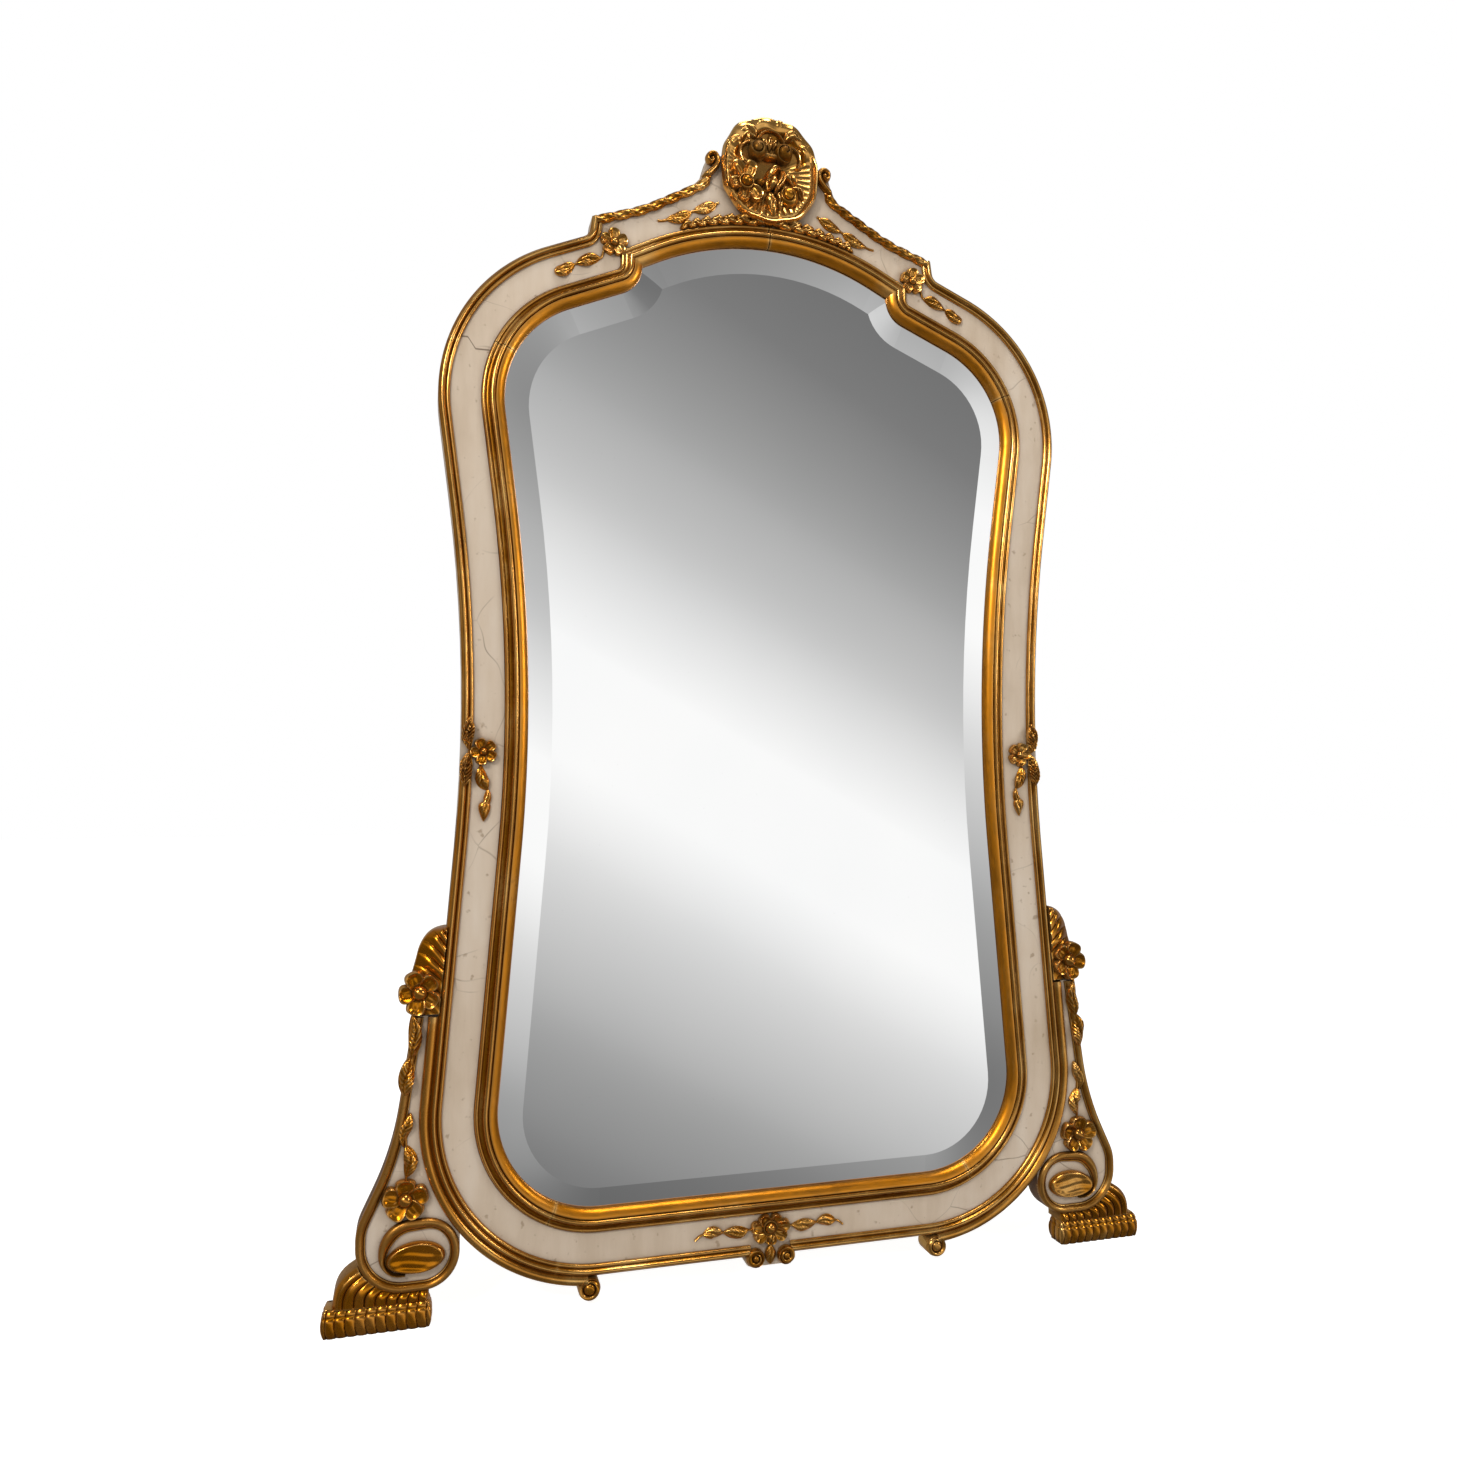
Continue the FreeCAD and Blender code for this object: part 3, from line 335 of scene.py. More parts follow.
# Finishes
class Nodes:
    def __init__(self, name):
        self.owner = bpy.data.materials.new(name)
        self.owner.use_nodes = True
        self.tree = self.owner.node_tree
        self.shader = self.tree.nodes["Principled BSDF"]
        self.place = self.new("TexCoord").outputs["Object"]

    def new(self, kind):
        return self.tree.nodes.new("ShaderNode" + kind)

    def link(self, source, target):
        self.tree.links.new(source, target)

    def fill(self, socket, value):
        # A number, a colour, or what another node gives
        if isinstance(value, (int, float)):
            socket.default_value = value
        elif isinstance(value, tuple):
            socket.default_value = (*value, 1)
        else:
            self.link(value, socket)

    def mapped(self, scale):
        node = self.new("Mapping")
        node.inputs["Scale"].default_value = scale
        self.link(self.place, node.inputs["Vector"])
        return node.outputs["Vector"]

    def noise(self, scale, detail=4.0, rough=0.6, vector=None, distortion=0.0):
        node = self.new("TexNoise")
        node.inputs["Scale"].default_value = scale
        node.inputs["Detail"].default_value = detail
        node.inputs["Roughness"].default_value = rough
        node.inputs["Distortion"].default_value = distortion
        self.link(vector or self.place, node.inputs["Vector"])
        return node.outputs["Fac"]

    def attribute(self, name):
        node = self.new("Attribute")
        node.attribute_name = name
        return node.outputs["Fac"]

    def ramp(self, source, stops, kind="LINEAR"):
        node = self.new("ValToRGB")
        node.color_ramp.interpolation = kind
        while len(node.color_ramp.elements) < len(stops):
            node.color_ramp.elements.new(0.5)
        for element, (place, colour) in zip(node.color_ramp.elements, stops):
            element.position = place
            element.color = (*colour, 1)
        self.link(source, node.inputs["Fac"])
        return node.outputs["Color"]

    def grey(self, source, low, high, a=0.0, b=1.0):
        node = self.new("MapRange")
        for key, value in zip(("From Min", "From Max", "To Min", "To Max"), (low, high, a, b)):
            node.inputs[key].default_value = value
        self.link(source, node.inputs["Value"])
        return node.outputs["Result"]

    def calculate(self, kind, a, b):
        node = self.new("Math")
        node.operation = kind
        for socket, value in zip(node.inputs, (a, b)):
            self.fill(socket, value)
        return node.outputs[0]

    def plus(self, a, b):
        return self.calculate("ADD", a, b)

    def less(self, a, b):
        return self.calculate("SUBTRACT", a, b)

    def times(self, a, b):
        return self.calculate("MULTIPLY", a, b)

    def least(self, a, b):
        return self.calculate("MINIMUM", a, b)

    def absolute(self, a):
        return self.calculate("ABSOLUTE", a, 0)

    def mix(self, factor, a, b):
        node = self.new("Mix")
        node.data_type = "RGBA"
        for socket, value in ((node.inputs["Factor"], factor), (node.inputs[6], a), (node.inputs[7], b)):
            self.fill(socket, value)
        return node.outputs[2]

    def join(self, x, y, z):
        node = self.new("CombineXYZ")
        for socket, value in zip(node.inputs, (x, y, z)):
            self.fill(socket, value)
        return node.outputs[0]

    def split(self, vector, axis):
        node = self.new("SeparateXYZ")
        self.link(vector, node.inputs[0])
        return node.outputs[axis]

    def crevice(self, distance):
        node = self.new("AmbientOcclusion")
        node.samples = 6
        node.inputs["Distance"].default_value = distance
        return node.outputs["AO"]

    def bump(self, height, strength, distance):
        node = self.new("Bump")
        node.inputs["Strength"].default_value = strength
        node.inputs["Distance"].default_value = distance
        self.link(height, node.inputs["Height"])
        self.link(node.outputs["Normal"], self.shader.inputs["Normal"])

    def set(self, **values):
        for key, value in values.items():
            self.fill(self.shader.inputs[key.replace("_", " ")], value)
        return self.owner


# The pale colour also paints highlights, the warm ovolo colour paints a warm reflection, and the darkest
# colour paints shade as well as dirt
gilding = {"paleAndHighlight": (0.93, 0.58, 0.20), "gold": (0.50, 0.195, 0.014), "deep": (0.23, 0.068, 0.002),
           "warmSheen": (0.76, 0.262, 0.004), "brown": (0.56, 0.188, 0.003), "bole": (0.22, 0.05, 0.005),
           "dirtAndShade": (0.034, 0.013, 0.001), "mostDirtAndShade": 0.93, "creviceReach": 0.010}


def makeGilding():
    m = Nodes("waterGilding")
    hollow, warmSheen, shadeAndHighlight = [m.attribute(name) for name in ("hollow", "warmSheen", "shadeAndHighlight")]
    strokes = m.join(m.times(m.attribute("along"), 0.02), m.times(m.attribute("across"), 9), m.noise(3))
    streak = m.noise(1, 3, 0.6, strokes)
    broad = m.noise(14, 3, 0.55)
    fine = m.noise(160, 5, 0.65)
    tone = m.plus(m.times(broad, 0.55), m.times(streak, 0.45))
    colour = m.ramp(tone, [(0.34, gilding["deep"]), (0.50, gilding["gold"]), (0.70, gilding["paleAndHighlight"])])
    # Painted warm reflection on the ovolo of the sight moulding
    warmSheenMix = m.times(warmSheen, m.grey(streak, 0.42, 0.60, 0.45, 1))
    colour = m.mix(warmSheenMix, colour, gilding["warmSheen"])
    # Browner at the lower left; a painted highlight makes the crest and the balls paler
    x, z = m.split(m.place, 0), m.split(m.place, 2)
    lowLeft = m.times(m.grey(z, 0.95, 0.60, 0, 0.70), m.grey(x, -0.25, -0.42, 0, 1))
    colour = m.mix(lowLeft, colour, gilding["brown"])
    colour = m.mix(m.grey(shadeAndHighlight, -0.10, -0.30, 0, 0.6), colour, gilding["paleAndHighlight"])
    worn = m.grey(m.plus(fine, m.times(broad, 0.5)), 0.88, 1.02, 0, 0.45)
    colour = m.mix(worn, colour, gilding["bole"])
    # Dirt and painted shade: darker in crevices, in hollows and where the shade mark is positive
    openness = m.crevice(gilding["creviceReach"])
    dirtAndShade = m.plus(m.grey(openness, 0.90, 0.30, 0, 0.85), m.grey(hollow, 0.03, 0.26, 0, 0.85))
    dirtAndShade = m.plus(dirtAndShade, shadeAndHighlight)
    dirtAndShade = m.times(dirtAndShade, m.grey(fine, 0.25, 0.60, 0.55, 1))
    dirtAndShade = m.least(dirtAndShade, gilding["mostDirtAndShade"])
    # Painted highlight: convex ridges are mixed to pale gold
    ridgeHighlight = m.grey(hollow, -0.03, -0.22, 0, 0.55)
    colour = m.mix(ridgeHighlight, colour, gilding["paleAndHighlight"])
    colour = m.mix(dirtAndShade, colour, gilding["dirtAndShade"])
    dulled = m.plus(dirtAndShade, m.times(warmSheen, 0.45))
    rough = m.plus(m.grey(fine, 0.3, 0.7, 0.17, 0.27), m.times(dulled, 0.30))
    metal = m.grey(dirtAndShade, 0.2, 0.95, 0.95, 0.45)
    m.bump(m.plus(m.times(fine, 0.35), streak), 0.20, 0.0005)
    return m.set(Base_Color=colour, Roughness=rough, Metallic=metal, Specular_IOR_Level=0.10)


# The crevice colour paints dirt and shade
ivory = {"shade": (0.480, 0.378, 0.275), "middle": (0.590, 0.488, 0.385), "light": (0.66, 0.575, 0.485),
         "crack": (0.13, 0.09, 0.055), "speck": (0.25, 0.17, 0.10), "dirtAndShade": (0.16, 0.095, 0.045),
         "scarf": (0.09, 0.055, 0.03), "scarfX": (-0.407, -0.397), "scarfZ": (1.2434, 1.2286),
         "bronze": (0.115, 0.050, 0.010), "woodDark": (0.13, 0.072, 0.034),
         "woodMiddle": (0.24, 0.145, 0.075), "woodLight": (0.33, 0.21, 0.115), "depth": (0.024, 0.028)}


def makePaint():
    m = Nodes("ivoryPaint")
    broad = m.noise(5, 4, 0.6)
    streak = m.noise(22, 5, 0.65, m.mapped((1, 1, 0.16)))
    fine = m.noise(240, 4, 0.6)
    tone = m.plus(m.times(broad, 0.5), m.times(streak, 0.5))
    colour = m.ramp(tone, [(0.34, ivory["shade"]), (0.51, ivory["middle"]), (0.68, ivory["light"])])
    cell = m.new("TexVoronoi")
    cell.feature = "DISTANCE_TO_EDGE"
    cell.inputs["Scale"].default_value = 11.0
    swirl = m.new("TexNoise")
    m.link(m.place, swirl.inputs["Vector"])
    warp = m.mix(0.16, m.place, swirl.outputs["Color"])
    m.link(warp, cell.inputs["Vector"])
    crack = m.grey(cell.outputs["Distance"], 0, 0.010, 1, 0)
    crack = m.times(crack, m.grey(broad, 0.50, 0.62, 0, 0.7))
    colour = m.mix(crack, colour, ivory["crack"])
    speck = m.grey(m.noise(90, 2, 0.5), 0.665, 0.75, 0, 0.6)
    colour = m.mix(speck, colour, ivory["speck"])
    # Dirt and painted shade in the crevices
    dirtAndShade = m.times(m.grey(m.crevice(0.012), 0.95, 0.45, 0, 0.8), m.grey(fine, 0.2, 0.7, 0.6, 1))
    colour = m.mix(dirtAndShade, colour, ivory["dirtAndShade"])
    # Scarf of the left shoulder: a stepped crack across the flat
    x, z = m.split(m.place, 0), m.split(m.place, 2)
    step = m.grey(x, *ivory["scarfX"], *ivory["scarfZ"])
    line = m.plus(m.less(z, step), m.times(fine, 0.0012))
    scarfMark = m.grey(m.absolute(line), 0.0004, 0.0016, 0.85, 0)
    scarfMark = m.times(scarfMark, m.grey(x, -0.02, -0.03, 0, 1))
    colour = m.mix(scarfMark, colour, ivory["scarf"])
    # The consoles' sides are bronzed
    turned = m.new("NewGeometry").outputs["Normal"]
    sideways = m.grey(m.absolute(m.split(turned, 1)), 0.3, 0.6, 1, 0)
    consoles = m.times(m.grey(m.absolute(x), 0.350, 0.365), m.grey(z, 0.64, 0.62))
    colour = m.mix(m.times(sideways, consoles), colour, ivory["bronze"])
    # Bare wood behind the paint
    depth = m.plus(m.split(m.place, 1), m.times(broad, 0.008))
    behind = m.grey(depth, *[flatY / 1000 + reach for reach in ivory["depth"]])
    grain = m.noise(14, 5, 0.65, m.mapped((6, 6, 0.35)), 0.6)
    wood = m.ramp(grain, [(0.30, ivory["woodDark"]), (0.55, ivory["woodMiddle"]), (0.8, ivory["woodLight"])])
    colour = m.mix(behind, colour, wood)
    m.bump(m.less(m.plus(m.times(fine, 0.35), streak), crack), 0.30, 0.0006)
    return m.set(Base_Color=colour, Roughness=m.grey(fine, 0.3, 0.7, 0.46, 0.62), Specular_IOR_Level=0.4)


def makeWood(name, dark, mid, light, stretch):
    m = Nodes(name)
    grain = m.noise(10, 6, 0.65, m.mapped(stretch), 1.2)
    fine = m.noise(120, 3, 0.6, m.mapped(stretch))
    colour = m.ramp(m.plus(m.times(grain, 0.8), m.times(fine, 0.2)),
                    [(0.30, dark), (0.52, mid), (0.75, light)])
    # Dirt and painted shade in the crevices
    dirtAndShade = m.grey(m.crevice(0.02), 0.9, 0.4, 0, 0.7)
    colour = m.mix(dirtAndShade, colour, (0.05, 0.03, 0.018))
    m.bump(m.plus(grain, fine), 0.35, 0.0008)
    return m.set(Base_Color=colour, Roughness=m.grey(fine, 0.3, 0.7, 0.62, 0.8))


def makeMetal(name, base, dull, rough):
    m = Nodes(name)
    fine = m.noise(400, 4, 0.6)
    stain = m.noise(60, 4, 0.6)
    colour = m.ramp(stain, [(0.35, dull), (0.62, base)])
    m.bump(fine, 0.2, 0.0003)
    return m.set(Base_Color=colour, Metallic=1.0, Roughness=m.grey(fine, 0.3, 0.7, rough, rough + 0.2))


plate = {"cloudy": (0.93, 0.935, 0.935), "clear": (0.965, 0.965, 0.96), "speck": (0.5, 0.5, 0.48),
         "bevelX": -2.6, "bevelZ": -0.2, "bevelDrop": 0.055}


def makeMirror():
    m = Nodes("silveredPlate")
    cloud = m.noise(3, 3, 0.5)
    speck = m.grey(m.noise(420, 2, 0.5), 0.74, 0.80, 0, 0.25)
    silver = m.ramp(cloud, [(0.3, plate["cloudy"]), (0.7, plate["clear"])])
    colour = m.mix(speck, silver, plate["speck"])
    # The silver lies behind the bevel, so the bevel turns the picture inwards
    facing = m.new("NewGeometry").outputs["Normal"]
    x, y, z = [m.split(facing, axis) for axis in range(3)]
    bevel = m.times(m.grey(y, -0.9995, -0.9985), m.grey(y, -0.90, -0.80, 1, 0))
    lean = m.times(x, m.grey(bevel, 0, 1, 1, plate["bevelX"]))
    drop = m.times(z, m.grey(bevel, 0, 1, 1, plate["bevelZ"]))
    drop = m.less(drop, m.times(bevel, plate["bevelDrop"]))
    m.link(m.join(lean, y, drop), m.shader.inputs["Normal"])
    return m.set(Base_Color=colour, Metallic=1.0, Roughness=m.grey(cloud, 0.3, 0.7, 0.006, 0.014))


gold = makeGilding()
paint = makePaint()
pine = makeWood("agedPine", (0.17, 0.09, 0.038), (0.36, 0.215, 0.10), (0.50, 0.33, 0.17), (0.35, 5, 5))
beech = makeWood("bareBeech", (0.24, 0.15, 0.08), (0.38, 0.26, 0.15), (0.50, 0.37, 0.23), (4, 4, 0.5))
steel = makeMetal("dullSteel", (0.42, 0.41, 0.40), (0.16, 0.14, 0.12), 0.38)
brass = makeMetal("dullBrass", (0.62, 0.45, 0.17), (0.28, 0.18, 0.06), 0.30)
mirror = makeMirror()
finishes = {"ivory_paint": paint, "gilding": gold, "silvered_glass": mirror, "pine_board": pine,
            "plain_wood": beech, "screw_steel": steel, "hanger_brass": brass}
for entry in frame["record"]["subparts"]:
    node = nodes[entry["node"]]
    node.data.materials.clear()
    node.data.materials.append(finishes[entry["material_slot"]])
print("finishes made")

# Lines of the opening and of the frame's outer edge, left half
opening = {"spring": (-178.5, 1364), "bump": (-178.5, 1337.5, 39), "shoulder": (-372, 1256, 140),
           "waist": (-314, 810, 2202), "lower": (-371, 120, 130), "bottom": (0, 120),
           "archRadius": 349, "archCentre": 1063, "archAngle": 26.5, "width": 84,
           "horn": (-247, 1424), "cove": (-250.5, 14), "edgeEnd": -28}
sideCorners = [opening["spring"] + (0,), opening["bump"], opening["shoulder"], opening["waist"],
               opening["lower"], opening["bottom"] + (0,)]
outerShoulder, outerWaist, outerLower = offsetCorners(sideCorners, opening["width"])[1:]
slope = unit(opening["bump"], opening["shoulder"])
coveX = opening["cove"][0]
coveZ = outerShoulder[1] + (coveX - outerShoulder[0]) * slope[1] / slope[0]


def archPoint(angle, radius):
    # Point over the arch; the angle in degrees from the top, left of it negative
    turn = radians(angle)
    return radius * sin(turn), opening["archCentre"] + radius * cos(turn)


def archLine(first, last, offset=0.0, count=60):
    radius = opening["archRadius"] + offset
    return [archPoint(first + (last - first) * i / count, radius) for i in range(count + 1)]


archFoot = archPoint(-opening["archAngle"], opening["archRadius"])
sightRun = roundedRun(sideCorners, 3)
outerRun = roundedRun([opening["horn"] + (0,), (coveX, coveZ, opening["cove"][1]), outerShoulder, outerWaist,
                       outerLower, (opening["edgeEnd"], outerLower[1], 0)], 3)


def runAt(points, test):
    for s, p in zip(lengths(points), points):
        if test(p):
            return s
    raise ValueError("no such place")


# Sight moulding: ovolo at the glass, bead, hollow, thin bead at the flat
sightSection = [(0, -3.6), (0, -1), (0.6, 1), (1.8, 3), (3.2, 4.6), (5.2, 6.2), (8, 7.5), (10.4, 8),
                (11, 7.9), (11.7, 6.7), (12.3, 6.5), (12.7, 7.7), (13.6, 9.1), (15, 9.9), (16.4, 9.9),
                (17.7, 9.1), (18.6, 7.8), (18.9, 6.6), (19.5, 5), (20.6, 3.5), (22.2, 2.5), (23.9, 1.9),
                (24.3, 2.1), (24.7, 3.2), (25.6, 4), (26.7, 4.3), (27.8, 4), (28.6, 3.2), (29, 1.9),
                (29.9, 0.1), (30, -0.6)]
warmSheenBand = (0, 11.5)  # the ovolo carries a painted warm reflection and is duller than the beads
springIn = unit(archFoot, opening["spring"])
mitreScale = 1.0 / (1 - springIn[1])
mitre = ((springIn[1] - 1) * mitreScale, -springIn[0] * mitreScale)
joint = {"scarf": 0.4, "butt": 0.15}  # half the gap left at a joint between strips


def sightStrip(run, **ends):
    return sweep(run, sightSection, 3.8, warmSheen=warmSheenBand, **ends)


archRun = archLine(-0.10, -opening["archAngle"]) + [opening["spring"]]
gildPair(sightStrip(archRun, endNormal=mitre), "sightMouldingArch", "sight_moulding_arch")
scarf = runAt(sightRun, lambda p: p[1] < 1228)
corner = runAt(sightRun, lambda p: p[0] > -287 and p[1] < 300)
gildPair(sightStrip(cutRun(sightRun, 0, scarf - joint["scarf"]), startNormal=mitre),
         "sightMouldingShoulder", "sight_moulding_shoulder")
gildPair(sightStrip(cutRun(sightRun, scarf + joint["scarf"], corner - joint["butt"])),
         "sightMouldingStile", "sight_moulding_stile")
half = cutRun(sightRun, corner + joint["butt"], lengths(sightRun)[-1])
bottomRun = half + [(-x, z) for x, z in reversed(half[:-1])]
gild(sightStrip(bottomRun), "sightMouldingBottom", "sight_moulding_bottom")
print("sight moulding made")

# Edge moulding: bold outer bead and a thin inner one, then the bottom volutes
edgeSection = [(-15, -0.4), (-15, 1), (-14.6, 2.4), (-13.6, 3.6), (-12.4, 4.1), (-11.2, 3.8), (-10.2, 2.8),
               (-9.8, 2.2), (-9.2, 2.5), (-8.4, 4.4), (-7.2, 5.9), (-5.7, 6.7), (-4.2, 6.2), (-2.8, 4.9),
               (-1.8, 3.2), (-1.2, 2.2), (-0.4, 1.6), (0, 0.6), (0, -2), (-0.1, -6)]


def edgeStrip(start, end):
    return sweep(cutRun(outerRun, start, end), edgeSection, 6)


def volute(x, z, radius, base, height, turns=1.6, hand=1, start=0.0, back=0.5, core=0.30):
    # Disc carved as a winding roll round a ball
    bm = discSheet(30, 72)
    for v in bm.verts:
        r, a = polar(v)
        phase = (r * turns - hand * (a - start) / tau) % 1.0
        roll = sqrt(max(0, 1 - (2 * phase - 1) ** 2))
        ball = max(0, 1 - (r / core) ** 4) ** 0.5
        h = height * (0.45 + 0.40 * roll) * (1 - 0.55 * smooth(0.90, 1, r))
        outside = smooth(core - 0.04, core + 0.12, r)
        h = h * outside + height * (0.30 + 0.60 * ball) * (1 - outside)
        v.co = onDisc(x, z, radius * r, a, base + h)
    return closeBack(bm, base - back)


gapHigh = runAt(outerRun, lambda p: p[1] < 722)
gapLow = runAt(outerRun, lambda p: p[1] < 688)
scarfOut = runAt(outerRun, lambda p: p[1] < 1243)
cornerOut = runAt(outerRun, lambda p: p[0] > -287 and p[1] < 300)
gildPair(edgeStrip(0, scarfOut - joint["butt"]), "edgeMouldingShoulder", "edge_moulding_shoulder")
gildPair(gather([edgeStrip(scarfOut + joint["butt"], gapHigh), edgeStrip(gapLow, cornerOut - joint["butt"])]),
         "edgeMouldingStile", "edge_moulding_stile")
gildPair(gather([edgeStrip(cornerOut + joint["butt"], lengths(outerRun)[-1]),
                 volute(-21.5, 34.5, 12.4, 1, 10, 1.7, -1, 1.2, 0.5, 0.36)]),
         "edgeMouldingBottom", "edge_moulding_bottom")
print("edge moulding made")


# Carved parts that recur: flower, leaf, stem
def petal(x, z, angle, length, width, base, relief, tilt=0.16):
    # Spoon with a turned-up rim, its root under the flower's centre
    bm = discSheet(12, 40)
    along, across = marks(bm, "along", "across")
    c, s = cos(radians(angle)), sin(radians(angle))
    for v in bm.verts:
        u, w = v.co.x, v.co.z
        r = hypot(u, w)
        px = length * (0.5 + 0.22 * sin(pi / 2 * u) + 0.28 * u)
        pw = width / 2 * w * (0.74 + 0.26 * u)
        h = relief * (0.58 + 0.42 * smooth(0.35, 0.86, r)) * (1 - 0.80 * smooth(0.88, 1, r))
        h += tilt * relief * w + 0.03 * relief * cos(13 * w) * (1 - r) * smooth(-0.6, 0.3, u)
        h *= 0.40 + 0.60 * smooth(-0.75, 0.25, u)
        v.co = at(x + px * c - pw * s, z + px * s + pw * c, base + max(0.2, h))
        v[along], v[across] = r * 20, w
    return closeBack(bm, base - 0.4)


def boss(x, z, radius, base, height, ring=1.0):
    # Ball in a ring, with painted shade in the groove between and a painted highlight on the ball
    bm = discSheet(20, 36)
    shadeAndHighlight = bm.verts.layers.float["shadeAndHighlight"]
    for v in bm.verts:
        r, a = polar(v)
        ball = sqrt(max(0, 1 - (r / 0.72) ** 2))
        h = height * max(ball, ring * 0.42 * sqrt(max(0, 1 - ((r - 0.82) / 0.18) ** 2)), 0.10)
        v[shadeAndHighlight] = 0.85 * smooth(0.58, 0.70, r) - 0.15
        v.co = onDisc(x, z, radius * r, a, base + h)
    return closeBack(bm, base - 0.4)


def flower(x, z, radius, base, petals=5, first=90.0, relief=6.5, squeeze=(1, 1), broad=1.7, centre=0.42):
    parts = []
    for k in range(petals):
        angle = radians(first + 360.0 * k / petals)
        dx, dz = cos(angle) * squeeze[0], sin(angle) * squeeze[1]
        reach = hypot(dx, dz)
        width = broad * radius * tau / petals / 1.9
        parts.append(petal(x, z, degrees(atan2(dz, dx)), radius * reach, width, base, relief))
    return gather(parts + [boss(x, z, radius * centre, base + 0.25 * relief, relief * 1.15, 0.5)])


def leaf(points, width, base, relief=5.0, fold=0.5, fullness=0.8, belly=1.0, veins=0.07):
    spine = evenRun(curve(points), 1.2)
    n = len(spine)
    bm = stripSheet(14, n - 1)
    along, across = marks(bm, "along", "across")
    for v in bm.verts:
        s, t = v.co.x * 2, v.co.y + 0.5
        j = min(n - 1, round(t * (n - 1)))
        a = heading(spine, j)
        body = sin(pi * t ** belly)
        half = 0.35 + width / 2 * max(0, body) ** fullness
        crown = 1 - abs(s) ** 2.4
        h = relief * (0.30 + 0.70 * crown) * (0.22 + 0.78 * max(0, body) ** 0.6)
        h -= relief * 0.30 * ridge(s + 0.25 * sin(tau * t), 0, 0.20) * body
        h += fold * relief * 0.5 * s * sin(tau * t)
        h += veins * relief * cos(10 * pi * (t * 1.6 - abs(s) * 0.35)) * body
        v.co = at(spine[j][0] + a[1] * s * half, spine[j][1] - a[0] * s * half, base + max(0.25, h))
        v[along], v[across] = t * 30, v.co.x
    return closeBack(bm, base - 0.4)


def stem(points, width, base, relief=2.4):
    turns = [pi * i / 8 for i in range(8, -1, -1)]
    section = [(width / 2 * cos(turn), base + relief * sin(turn)) for turn in turns]
    return sweep(evenRun(curve(points), 2), section, 0.4 - base)


# Rope on the sloping top, wound like a leaf round a stick, ending in the ear scroll
rope = {"width": 13, "height": 8.2, "pitch": 25, "strands": 2, "steps": 26}
ropeLine = roundedRun([opening["horn"] + (0,), (-180, 1447, 250), (-99, 1493, 45), (-90, 1506, 0)], 2)
ropeSection = [(i, 0) for i in range(rope["steps"] + 1)]


def ropeShape(t, s, d, h):
    angle = pi * d / rope["steps"]
    twist = (angle / pi * 1.15 - s / rope["pitch"]) * rope["strands"] / 2 * tau
    lobe = abs(sin(twist / 2)) ** 0.6
    swell = 0.66 + 0.34 * lobe
    vein = 0.035 * cos(twist * 3)
    size = swell + vein
    end = (0.55 + 0.45 * smooth(0, 0.03, t)) * (0.45 + 0.55 * smooth(1, 0.95, t))
    halfWidth, high = rope["width"] / 2, rope["height"]
    return halfWidth - halfWidth * cos(angle) * size * end, high * sin(angle) * size * end


def earShape(t, s, d, h):
    angle = pi * d / rope["steps"]
    halfWidth = (5.0 - 2.4 * t) * (0.55 + 0.45 * smooth(0, 0.12, t))
    high = 1.0 + (7.5 + 2.0 * t) * sin(angle)
    return halfWidth * -cos(angle), high * smooth(-0.05, 0.12, t)


ropePiece = sweep(evenRun(ropeLine, 0.9), ropeSection, 5, vary=ropeShape)
earLine = [(-95, 1499), (-84, 1508.5), (-76.5, 1517.5), (-74, 1526), (-77.5, 1533), (-83.5, 1533.5),
           (-88, 1529.5), (-88, 1523.5), (-84, 1520.5), (-81, 1524)]
ear = sweep(evenRun(curve(earLine), 0.8), ropeSection, 0.4, vary=earShape)
gildPair(gather([ropePiece, ear, boss(-81.8, 1525.8, 4.4, 1, 8.5, 0.2)]), "ropeMoulding", "rope_moulding")
print("rope made")

# Leaves that break the edge moulding at the waist
gildPair(gather([
    leaf([(-406, 664), (-402.5, 688), (-400, 707.5)], 13.5, 3, 7.5, 1.3, 0.6, 0.8, 0.22),
    leaf([(-405.5, 662), (-407.5, 690), (-401.5, 706)], 8, 5.5, 5.5, -1.2, 0.7, 0.9, 0.20),
    leaf([(-399.5, 708.5), (-401.5, 724), (-398, 748)], 13.5, 3, 7.5, -1.3, 0.6, 1.2, 0.22),
    leaf([(-400.5, 710), (-406, 728), (-399, 752)], 8, 5.5, 5.5, 1.2, 0.7, 1.1, 0.20),
    leaf([(-402, 707.5), (-395, 707.8), (-388, 707.5)], 5.5, 0.5, 4.5, 0)]),
    "waistLeaf", "waist_leaf")

# Sprays on the flats
gildPair(gather([
    leaf([(-147, 1433), (-127, 1438.5), (-110, 1449)], 15, 0, 5.5, 0.8),
    leaf([(-109, 1450), (-90, 1457), (-74, 1465)], 15, 0, 5.5, 0.8),
    stem([(-158, 1430), (-146, 1432.5), (-110, 1449), (-72, 1467)], 3.4, 0)]),
    "crestSpray", "crest_spray")
gildPair(gather([
    flower(-217.5, 1391.5, 19, 0, 5, 90, 7),
    leaf([(-269, 1356), (-252, 1364), (-235, 1368)], 15.5, 0, 6, 0.9),
    leaf([(-297, 1342), (-284, 1346), (-270, 1356)], 15, 0, 6, 0.9, 0.6, 0.75),
    stem([(-272, 1354.5), (-250, 1364), (-236, 1368), (-231.5, 1378)], 3.2, 0)]),
    "shoulderSpray", "shoulder_spray")
